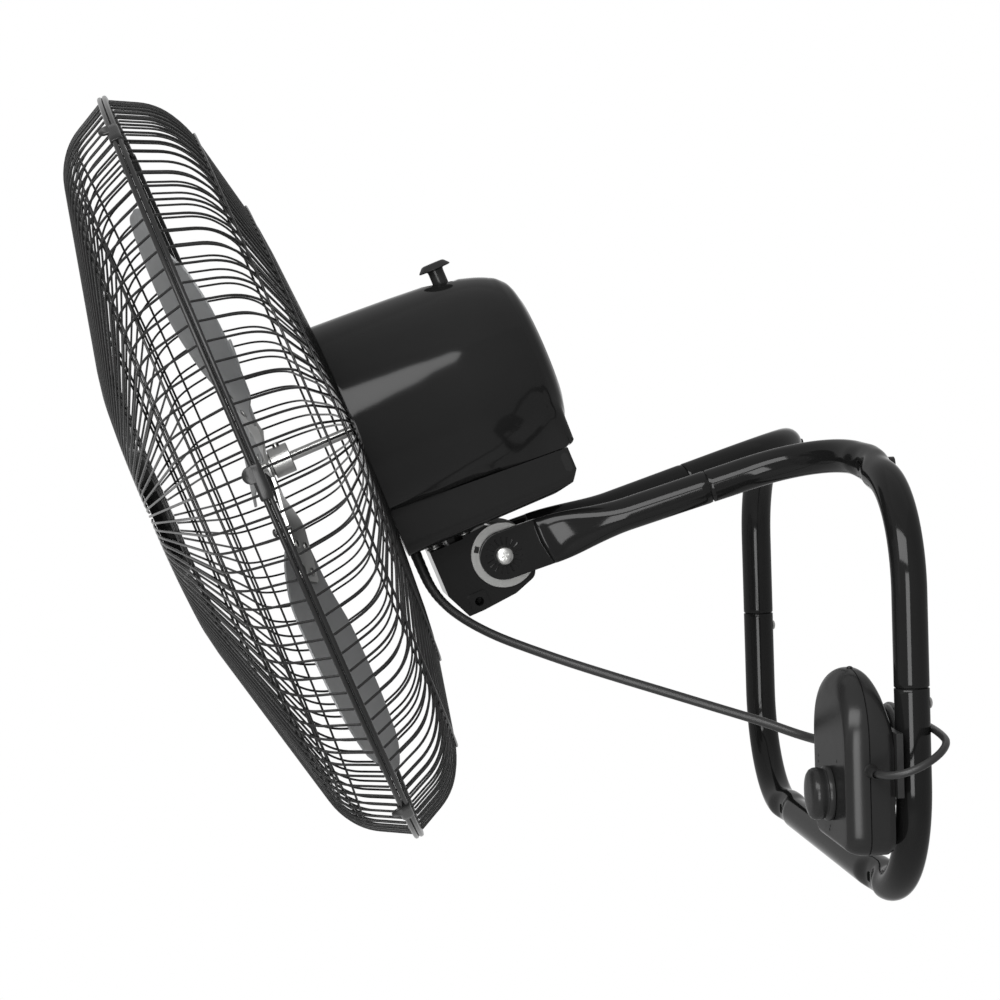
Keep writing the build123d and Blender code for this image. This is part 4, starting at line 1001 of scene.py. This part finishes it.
def soft_max(a, b):
    """The larger of two lengths, with a fillet where they cross."""
    share = max(SKIRT_FILLET - abs(a - b), 0.0) / SKIRT_FILLET
    return max(a, b) + share * share * SKIRT_FILLET / 4


def rounding(share):
    """How far a quarter circle has fallen away at a share of its width."""
    share = min(max(share, 0.0), 1.0)
    return 1 - (1 - share * share) ** 0.5


def housing_ring(s, inset=0.0):
    """The housing's section: round above, with a flat-sided skirt down to the seam."""
    radius = smooth_radius(s) - inset
    skirt = SKIRT_HALF - inset - SKIRT_CORNER * rounding((SKIRT_BACK + SKIRT_CORNER - s) / SKIRT_CORNER)
    seam = seam_height(s) + HEEL_RADIUS * rounding((SKIRT_BACK + HEEL_RADIUS - s) / HEEL_RADIUS)
    ring = []
    for rise, side in circle(SLICES):
        reach = radius
        if rise < 0 and s > SKIRT_BACK:
            reach = soft_max(radius, min(skirt / max(abs(side), 1e-3), SKIRT_LIMIT))
        if rise < 0:
            reach = min(reach, seam / rise)
        ring.append(Vector((reach * side * MM, reach * rise * MM, s * MM)))
    return ring


def knob_pocket():
    """A slot-shaped pocket round the oscillation knob, with sloped walls."""
    rings = []
    for height, grow in POCKET_WALLS:
        radius = POCKET_RADIUS + grow
        ring = []
        for c, s in circle(48):
            middle = POCKET_BACK + (POCKET_SHIFT if c >= 0 else -POCKET_SHIFT)
            ring.append(Vector((radius * s * MM, height * MM, (middle + radius * c) * MM)))
        rings.append(ring)
    return skin(rings)


def capsule_prism(radius, half, thickness):
    """A flat upright capsule."""
    shift = half - radius
    outline = [(radius * c, radius * s + (shift if s >= 0 else -shift)) for c, s in circle(32)]
    return skin([[Vector((x, y, z)) * MM for x, y in outline] for z in (-thickness, 0.15)])


class FAN_OT_motor(bpy.types.Operator):
    """Motor housing, base cover and the oscillation knob"""

    bl_idname = "fan.motor"
    bl_label = "Motor"

    def execute(self, context):
        rings = [housing_ring(s, inset) for s, inset in HOUSING_EDGE]
        rings += [housing_ring(s) for s in HOUSING_RUN]
        last = rings[-1]
        for shrink, s in HOUSING_END:
            rings.append([Vector((p.x * shrink, p.y * shrink, s * MM)) for p in last])
        housing = add_piece("housing_shell", skin(rings), "housing", "head",
                            hides=("motor_shell",), crease=50.0)
        cut(housing, moved(knob_pocket(), HEAD))
        carry_over("base_cover", "housing", 4.5)
        # A thin near-black capsule on the base cover: painted shade of its slot.
        slot = moved(capsule_prism(3.4, 8.5, 0.5), looking(SLOT_PLACE, X, Y))
        add_piece("cover_slot", slot, "recess", "head")
        add_piece("oscillation_pull", turned(KNOB_PROFILE, 72, KNOB_PLACE, Y), "moulding",
                  "oscillation_knob", hides=("oscillation_knob",), crease=35.0)
        for node, look in (
            ("front_shield", "dark steel"), ("gearbox_case", "dark steel"), ("bearings", "steel"),
            ("stator_core", "dark steel"), ("head_gland", "dull"),
        ):
            carry_over(node, look)
        return {"FINISHED"}


# ---- Guards ----

FRONT_RUN = ((62.0, 103.0), (118.0, 101.2), (306.0, 55.3), (327.0, 40.0), (346.0, 4.6))
REAR_RUN = ((101.0, -86.7), (196.0, -80.2), (300.0, -57.6), (328.0, -40.5), (346.0, -4.6))
FRONT_BENDS, REAR_BENDS = (200.0, 60.0, 55.0), (300.0, 90.0, 55.0)
FRONT_RING_RADII = (187.0, 197.0, 295.0, 303.0, 322.0)
REAR_RING_RADII = (217.0, 292.0)
GUARD_RADIUS, RIM_OFFSET = 350.0, 2.2
WIRE_COUNT, WIRE_PHASE = 120, 0.76
WIRE_STEP, WIRE_RUN = 5.0, 20.0 * MM
RING_OVERLAP = 0.93
PLATE_PROFILE = (
    (32, -84.9), (105.4, -84.9), (106, -84.5), (106, -83.9), (105.4, -83.45), (60, -83.45),
    (34, -83.45), (32, -83.8), (32, -84.9),
)
DISH_DEPTH = 11.0
CLIP_COUNT, CLIP_PHASE = 6, radians(2.3)
# A strap's sections: how far round the rim each is, and how much it is drawn in.
STRAP_SECTIONS = (
    (-14.6, 1.6), (-14.2, 0.8), (-13.0, 0.0), (-7.0, 0.0), (0.0, 0.0), (7.0, 0.0), (13.0, 0.0),
    (14.2, 0.8), (14.6, 1.6),
)
STRAP_THICKNESS, STRAP_WIDTH = 6.8, 11.0
EAR_SHIFT, EAR_RADIUS, EAR_FOOT, EAR_MIDDLE = 7.6, 7.0, 3.0, 5.2
EAR_LAYERS = ((-2.4, 0.95), (-2.0, 1.0), (-0.5, 1.0), (0.0, 0.93))
RIM_SCREW = (347.6, -27.0)


def run_line(run, bends):
    """A guard wire's smooth line in the plane of X and the fan's axis."""
    corners = [Vector((r * MM, 0.0, s * MM)) for r, s in run]
    return divided(rounded(corners, bends, WIRE_STEP), WIRE_RUN)


def height_at(line, radius):
    for a, b in zip(line, line[1:]):
        if a.x <= radius <= b.x:
            return a.z + (b.z - a.z) * (radius - a.x) / (b.x - a.x)
    return line[-1].z


def wire_fan(line, wire):
    """The same wire repeated round the fan's axis."""
    single = tube(line, wire / 2, 8)
    return merge(*[
        moved(single, about_z(radians(360.0 / WIRE_COUNT * k + WIRE_PHASE))) for k in range(WIRE_COUNT)
    ])


def hoop(radius, height, wire, steps=180, sides=10):
    path = [Vector((radius * c, radius * s, height)) for c, s in circle(steps)]
    return tube(path, wire / 2, sides, closed=True)


def clip_part():
    """A strap that holds both rims together, with a rounded ear towards the front."""
    rings = []
    for reach, inset in STRAP_SECTIONS:
        section = superellipse(STRAP_THICKNESS - inset, STRAP_WIDTH - inset, 3.0, 36)
        rings.append([
            about_z(reach / GUARD_RADIUS) @ Vector(((GUARD_RADIUS + x) * MM, 0.0, (z + 0.4) * MM))
            for x, z in section
        ])
    arc = [(cos(pi * k / 16), sin(pi * k / 16)) for k in range(17)]
    outline = [(EAR_RADIUS, EAR_FOOT)]
    outline += [(EAR_RADIUS * c, EAR_MIDDLE + EAR_RADIUS * s) for c, s in arc]
    outline += [(-EAR_RADIUS, EAR_FOOT)]
    outer = GUARD_RADIUS + STRAP_THICKNESS / 2
    ear = [
        [Vector((outer + height, EAR_SHIFT + y * grow, EAR_FOOT + (z - EAR_FOOT) * grow)) * MM
         for y, z in outline]
        for height, grow in EAR_LAYERS
    ]
    return merge(skin(rings), skin(ear))


class FAN_OT_guards(bpy.types.Operator):
    """Front and rear wire guards, their rings, plate, centre disc and rim clips"""

    bl_idname = "fan.guards"
    bl_label = "Guards"

    def execute(self, context):
        sizes = context.scene.fan_sizes
        front, rear = run_line(FRONT_RUN, FRONT_BENDS), run_line(REAR_RUN, REAR_BENDS)
        for end, line in (("front", front), ("rear", rear)):
            add_piece(end + "_wires", wire_fan(line, sizes.guard_wire), "wire", "head",
                      hides=(end + "_guard_wires",), crease=80.0)
        apart = (sizes.guard_wire + sizes.ring_wire) / 2 * RING_OVERLAP
        for end, line, radii in (("front", front, FRONT_RING_RADII), ("rear", rear, REAR_RING_RADII)):
            hoops = [hoop(r * MM, height_at(line, r * MM) - apart, sizes.ring_wire) for r in radii]
            add_piece(end + "_rings", merge(*hoops), "wire", "head",
                      hides=(end + "_guard_rings",), crease=80.0)
        for side, name in ((1, "front_rim"), (-1, "rear_rim")):
            rim = hoop(GUARD_RADIUS * MM, side * RIM_OFFSET * MM, sizes.rim_wire, 240, 16)
            add_piece(name + "_ring", rim, "wire", "head", hides=(name,), crease=80.0)
        self.plates(front)
        self.clips()
        return {"FINISHED"}

    def plates(self, front):
        """The plate behind the rear wires, and the dished disc over the inner ends of the front ones."""
        add_piece("rear_plate", lathe(PLATE_PROFILE, 128), "paint", "head",
                  hides=("rear_guard_plate",))
        inner, outer = (height_at(front, r * MM) / MM - 1.5 for r in (64.0, 80.0))
        dish = inner - DISH_DEPTH
        disc = (
            (0, dish), (38, dish), (52, dish + 0.3), (55, dish + 1.6), (60.5, inner - 1.2),
            (63, inner), (70, (inner + outer) / 2), (79.4, outer), (80, outer - 0.4),
            (79.6, outer - 1.0), (64, inner - 1.0), (61.5, inner - 2.4), (56, dish + 0.4),
            (52, dish - 0.8), (0, dish - 1.0),
        )
        add_piece("centre_disc", lathe(disc, 128), "paint", "head", hides=("guard_disc",))

    def clips(self):
        """The straps round both rims, and the screw beside the one nearest the camera."""
        for k in range(CLIP_COUNT):
            clip = moved(clip_part(), about_z(2 * pi * k / CLIP_COUNT + CLIP_PHASE))
            add_piece(f"rim_strap_{k + 1}", clip, "wire", "head", hides=(f"rim_clip_{k + 1}",),
                      crease=40.0)
        head = turned(dome(3.6, 3.0), 24, (*RIM_SCREW, 4.6), Z, Y)
        shank = turned(bar(1.9, 0, 12), 20, (*RIM_SCREW, -7.5), Z, Y)
        add_piece("rim_screw", merge(head, shank), "wire", "head")


# ---- Rotor ----

# Across a blade at each distance from the axis: the place and height of one edge, then of the other.
BLADE_STATIONS = (
    (66.0, -17.0, 1.0, 17.0, -10.2), (105.0, -44.0, 15.4, 38.0, -11.6),
    (150.0, -68.0, 22.0, 66.0, -17.0), (200.0, -78.0, 21.0, 76.0, -18.0),
    (250.0, -71.0, 18.0, 67.0, -16.0), (282.0, -46.0, 12.0, 42.0, -9.0),
    (297.0, -14.0, 4.0, 14.0, 0.0),
)
BLADE_COUNT, BLADE_FIRST = 3, 40.0
BLADE_THICKNESS, BLADE_HOLLOW, BLADE_TIP_HALF = 1.6, 0.03, 1.5
BLADE_TIP_HEIGHTS = (3.0, 1.0)
ROOT_SLOPE, ROOT_LIFT, ROOT_START, ROOT_LEVEL = -0.33, 0.1256, 60.0, -4.75
SPIDER_BACK, SPIDER_THICKNESS, SPIDER_ARM, SPIDER_GAP = -7.0, 2.5, 34.0, 0.35
# How far out each section of a spider's arm is, and how much narrower it is on each side.
SPIDER_SECTIONS = (
    (16.0, 0.0), (24.0, 0.0), (32.0, 0.0), (42.0, 0.0), (52.0, 0.0), (60.0, 0.0), (75.0, 0.0),
    (90.0, 0.0), (104.0, 1.6), (109.0, 1.6), (112.0, 5.0),
)
SPIDER_PROFILE = (
    (4.6, -7.0), (21.6, -7.0), (22, -6.6), (22, -4.9), (21.6, -4.5), (4.6, -4.5), (4.6, -7.0),
)
SHAFT_PROFILE = ((0, -236), (4.5, -236), (4.5, 4.4), (3.9, 5.0), (0, 5.0))
HUB_PROFILE = (
    (4.6, -28), (12.9, -28), (13.5, -27.4), (13.5, -10.1), (12.9, -9.5), (10.4, -9.5), (10, -9.1),
    (10, -7.1), (4.6, -7.1), (4.6, -28),
)
SET_SCREW_PROFILE = ((0, 0), (3.1, 0), (3.1, 3.4), (2.6, 3.8), (1.6, 3.8), (1.5, 1.6), (0, 1.6))
RIVET_PLACES = ((-9.0, 78.0), (9.0, 78.0), (-9.0, 102.0), (9.0, 102.0))


def eased(values, places, at):
    """A smooth curve through values at places (a monotone cubic)."""
    slopes = [
        (values[i + 1] - values[i]) / (places[i + 1] - places[i]) for i in range(len(values) - 1)
    ]
    tangents = [slopes[0]]
    for left, right in zip(slopes, slopes[1:]):
        tangents.append(0.0 if left * right <= 0 else 2 * left * right / (left + right))
    tangents.append(slopes[-1])
    i = next(k for k in range(len(slopes)) if at <= places[k + 1] or k == len(slopes) - 1)
    gap = places[i + 1] - places[i]
    t = (at - places[i]) / gap
    return (
        values[i] * (1 + 2 * t) * (1 - t) ** 2 + tangents[i] * gap * t * (1 - t) ** 2
        + values[i + 1] * t * t * (3 - 2 * t) + tangents[i + 1] * gap * t * t * (t - 1)
    )


def blade_part():
    """A blade standing along +Y: a thin hollow sheet with a rounded tip."""
    reaches, *columns = zip(*BLADE_STATIONS)
    root, tip = reaches[0], reaches[-1]
    round_from, left, left_height, right, right_height = BLADE_STATIONS[-2]
    half = Vector((0, 0, BLADE_THICKNESS / 2 * MM))
    across = 22
    rings = []
    for n in range(45):
        reach = root + (tip - root) * sin(pi / 2 * n / 44)
        u0, s0, u1, s1 = (eased(column, reaches, reach) for column in columns)
        if reach > round_from:
            share = (reach - round_from) / (tip - round_from)
            narrow = (1 - share * share) ** 0.5
            u0, u1 = min(left * narrow, -BLADE_TIP_HALF), max(right * narrow, BLADE_TIP_HALF)
            s0 = left_height + (BLADE_TIP_HEIGHTS[0] - left_height) * share
            s1 = right_height + (BLADE_TIP_HEIGHTS[1] - right_height) * share
        hollow = hypot(u1 - u0, s1 - s0) * BLADE_HOLLOW * smoothstep((reach - root) / 84.0)
        row = []
        for k in range(across + 1):
            share = k / across
            height = s0 + (s1 - s0) * share + hollow * (1 - (2 * share - 1) ** 2)
            row.append(Vector(((u0 + (u1 - u0) * share) * MM, reach * MM, height * MM)))
        rings.append([p + half for p in row] + [p - half for p in reversed(row)])
    return skin(rings)


def blade_turn(n):
    return about_z(radians(-BLADE_FIRST - n * 360.0 / BLADE_COUNT))


def spider_part():
    """The bright plate that carries the blades: a disc and three arms that follow the blades' roots."""
    drop = BLADE_THICKNESS / 2 + SPIDER_GAP + SPIDER_THICKNESS / 2
    flat = SPIDER_BACK + SPIDER_THICKNESS / 2
    rings = []
    for reach, narrow in SPIDER_SECTIONS:
        bend = smoothstep((reach - 16.0) / 44.0)
        level = ROOT_LEVEL + ROOT_LIFT * (max(reach, ROOT_START) - ROOT_START) - drop
        ring = []
        for sign, up in ((-1, 1), (1, 1), (1, -1), (-1, -1)):
            u = sign * (SPIDER_ARM / 2 - narrow)
            s = flat * (1 - bend) + (level + ROOT_SLOPE * u) * bend + up * SPIDER_THICKNESS / 2
            ring.append(Vector((u * MM, reach * MM, s * MM)))
        rings.append(ring)
    arm = skin(rings)
    return merge(lathe(SPIDER_PROFILE, 72), *[moved(arm, blade_turn(n)) for n in range(BLADE_COUNT)])


def rivet_part():
    """The rivets through the first blade's root, with a head on each side."""
    axis = Vector((ROOT_SLOPE, ROOT_LIFT, -1.0)).normalized()
    heads = []
    for u, reach in RIVET_PLACES:
        level = ROOT_LEVEL + ROOT_LIFT * (reach - ROOT_START) + ROOT_SLOPE * u
        for sign, away in ((-1, 0.7), (1, 3.4)):
            origin = Vector((u, reach, level)) + axis * sign * away
            heads.append(turned(dome(4.2, 1.7, 4), 20, origin, axis * sign, X))
    return merge(*heads)


class FAN_OT_rotor(bpy.types.Operator):
    """Shaft, hub, spider, blades and their rivets"""

    bl_idname = "fan.rotor"
    bl_label = "Rotor"

    def execute(self, context):
        add_piece("steel_shaft", lathe(SHAFT_PROFILE, 40), "steel", "rotor", hides=("shaft",))
        add_piece("steel_hub", lathe(HUB_PROFILE, 72), "steel", "rotor", hides=("hub",))
        socket = turned(SET_SCREW_PROFILE, 24, (0.0, 13.0, -19.0), Y)
        add_piece("set_screw", socket, "steel", "rotor")
        add_piece("blade_spider", spider_part(), "steel", "rotor", hides=("spider",), crease=25.0)
        blade, rivets = blade_part(), rivet_part()
        for n in range(BLADE_COUNT):
            add_piece(f"blade_sheet_{n + 1}", moved(blade, blade_turn(n)), "blade", "rotor",
                      hides=(f"blade_{n + 1}",), crease=40.0)
        rivets = merge(*[moved(rivets, blade_turn(n)) for n in range(BLADE_COUNT)])
        add_piece("blade_rivets", rivets, "steel", "rotor")
        carry_over("rotor_core", "dark steel")
        return {"FINISHED"}


# ---- Control box ----

BOX_X, BOX_WIDTH, BOX_TOP, BOX_BOTTOM = 257.5, 125.0, 15.0, -132.0
BOX_FRONT, BOX_SEAM, BOX_BACK = -81.6, -62.6, -42.0
BOX_CORNER = 18.0
ARCH_POWER, ARCH_STEPS, CORNER_STEPS, SIDE_STEPS = 0.84, 40, 8, 8
FRONT_INSET, FRONT_DROP = 9.0, 20.0
BACK_INSET, BACK_DROP = 2.4, 25.0
DOT_PLACES = (
    (216.6, -62.0), (216.0, -67.1), (283.0, -57.2), (277.9, -91.4), (253.9, -115.2), (208.7, -118.1),
    (251.7, -118.5),
)
SPEED_KNOB_PLACE = (260.0, BOX_FRONT, -86.7)
SPEED_KNOB_PROFILE = (
    (0, 0.3), (21.6, 0.3), (22.4, 1.0), (22.4, 4.6), (21.9, 5.4), (20.6, 5.9), (20.4, 6.8),
    (20.9, 8.4), (21.6, 11.2), (21.3, 14.2), (20.0, 16.8), (17.6, 18.5), (13.0, 19.4), (6.0, 19.6),
    (0, 19.6),
)
# Each cord's gland in the box: its node, its place, its bore and the way it looks.
GLANDS = (("mains_gland", 320.0, -60.5, 3.25, X), ("motor_cord_gland", 195.0, -58.0, 4.05, -X))


def box_ring(y, inset, drop=0.0):
    """The box's outline at a distance from the wall: an arch above, rounded corners below."""
    half = BOX_WIDTH / 2 - inset
    arch_z = BOX_TOP - BOX_WIDTH / 2
    corner = max(BOX_CORNER - inset, 2.0)
    foot, inner = BOX_BOTTOM + inset + corner, half - corner
    outline = [
        (half * abs(cos(pi * k / ARCH_STEPS)) ** ARCH_POWER * (1 if 2 * k <= ARCH_STEPS else -1),
         arch_z + (half - drop) * sin(pi * k / ARCH_STEPS) ** ARCH_POWER)
        for k in range(ARCH_STEPS + 1)
    ]
    arc = [(sin(pi / 2 * k / CORNER_STEPS) * corner, cos(pi / 2 * k / CORNER_STEPS) * corner)
           for k in range(CORNER_STEPS + 1)]
    shares = [k / SIDE_STEPS for k in range(1, SIDE_STEPS)]
    outline += [(-half, arch_z + (foot - arch_z) * share) for share in shares]
    outline += [(-inner - along, foot - fall) for fall, along in arc]
    outline += [(-inner + 2 * inner * share, foot - corner) for share in shares]
    outline += [(inner + along, foot - fall) for along, fall in arc]
    outline += [(half, foot + (arch_z - foot) * share) for share in shares]
    return [Vector(((BOX_X + x) * MM, y * MM, z * MM)) for x, z in outline]


def box_front_rings():
    """The front half's sections: its seam, its bulge, and its face towards the middle."""
    rings = [box_ring(BOX_SEAM - 0.1, 1.0), box_ring(BOX_SEAM - 0.15, 0.5)]
    start = BOX_SEAM - 0.6
    for k in range(19):
        angle = pi / 2 * k / 18
        fall = 1 - cos(angle)
        y = start - (start - BOX_FRONT) * sin(angle)
        rings.append(box_ring(y, FRONT_INSET * fall, (FRONT_DROP - FRONT_INSET) * fall))
    for share in (0.9, 0.75, 0.6, 0.4, 0.2):
        inset = BOX_WIDTH / 2 - (BOX_WIDTH / 2 - FRONT_INSET) * share
        rings.append(box_ring(BOX_FRONT, inset, (FRONT_DROP - FRONT_INSET) * share))
    return rings


def box_back_rings():
    """The back half's sections, whose top falls towards the wall."""
    start, end = BOX_SEAM + 0.5, BOX_BACK - 0.4
    rings = [box_ring(BOX_SEAM + 0.15, 0.8), box_ring(start, 0.0)]
    for k in range(1, 15):
        share = k / 14
        rings.append(box_ring(start + (end - start) * share, BACK_INSET * smoothstep(share * 4 - 3),
                              BACK_DROP * share ** 2.6))
    return rings + [box_ring(BOX_BACK, BACK_INSET + 1.2, BACK_DROP)]


class FAN_OT_control_box(bpy.types.Operator):
    """The control box's two halves, its knob, raised dots, glands and clamp plate"""

    bl_idname = "fan.control_box"
    bl_label = "Control box"

    def execute(self, context):
        for end, rings in (("front", box_front_rings()), ("back", box_back_rings())):
            add_piece("box_" + end, skin(rings), "moulding", "bracket",
                      hides=(f"box_{end}_shell",), crease=45.0)
        dots = [turned(dome(2.6, 2.0), 24, (BOX_X, BOX_SEAM, 14.6), Z, Y)]
        dots += [turned(dome(1.3, 0.5, 4), 20, (x, BOX_FRONT + 0.1, z), -Y) for x, z in DOT_PLACES]
        add_piece("box_dots", merge(*dots), "moulding", "bracket")
        add_piece("speed_dial", turned(SPEED_KNOB_PROFILE, 80, SPEED_KNOB_PLACE, -Y), "moulding",
                  "speed_knob", hides=("speed_knob",), crease=45.0)
        for node, x, z, bore, direction in GLANDS:
            collar = (
                (bore, -4.0), (5.5, -4.0), (5.5, 0.9), (5.1, 1.6), (4.6, 1.8), (bore + 0.3, 1.8),
                (bore, 1.5), (bore, -4.0),
            )
            add_piece(node + "_collar", turned(collar, 48, (x, BOX_SEAM, z), direction), "dull",
                      "bracket", hides=(node,))
        carry_over("box_plate", "dull", 0.8)
        carry_over("rotary_switch", "dull")
        return {"FINISHED"}


# ---- Panel and running ----

STEPS = (
    FAN_OT_stage, FAN_OT_cords, FAN_OT_wall_tubes, FAN_OT_arms, FAN_OT_neck, FAN_OT_motor,
    FAN_OT_guards, FAN_OT_rotor, FAN_OT_control_box,
)


class FAN_PT_panel(bpy.types.Panel):
    """Lists the fan's sizes, colours and steps"""

    bl_idname = "FAN_PT_panel"
    bl_label = "Wall mounted fan"
    bl_space_type = "VIEW_3D"
    bl_region_type = "UI"
    bl_category = "Wall Fan"

    def draw(self, context):
        layout = self.layout
        for group in (context.scene.fan_sizes, context.scene.fan_colours):
            box = layout.box()
            for name in group.bl_rna.properties.keys():
                if name not in ("rna_type", "name"):
                    box.prop(group, name)
        for step in STEPS:
            layout.operator(step.bl_idname)


CLASSES = (FanSizes, FanColours, *STEPS, FAN_PT_panel)


def register():
    for item in CLASSES:
        bpy.utils.register_class(item)
    bpy.types.Scene.fan_sizes = bpy.props.PointerProperty(type=FanSizes)
    bpy.types.Scene.fan_colours = bpy.props.PointerProperty(type=FanColours)


def unregister():
    del bpy.types.Scene.fan_colours
    del bpy.types.Scene.fan_sizes
    for item in reversed(CLASSES):
        bpy.utils.unregister_class(item)


def main():
    register()
    bpy.ops.fan.stage()
    bpy.ops.fan.cords()
    bpy.ops.fan.wall_tubes()
    bpy.ops.fan.arms()
    bpy.ops.fan.neck()
    bpy.ops.fan.motor()
    bpy.ops.fan.guards()
    bpy.ops.fan.rotor()
    bpy.ops.fan.control_box()


if __name__ == "__main__":
    main()
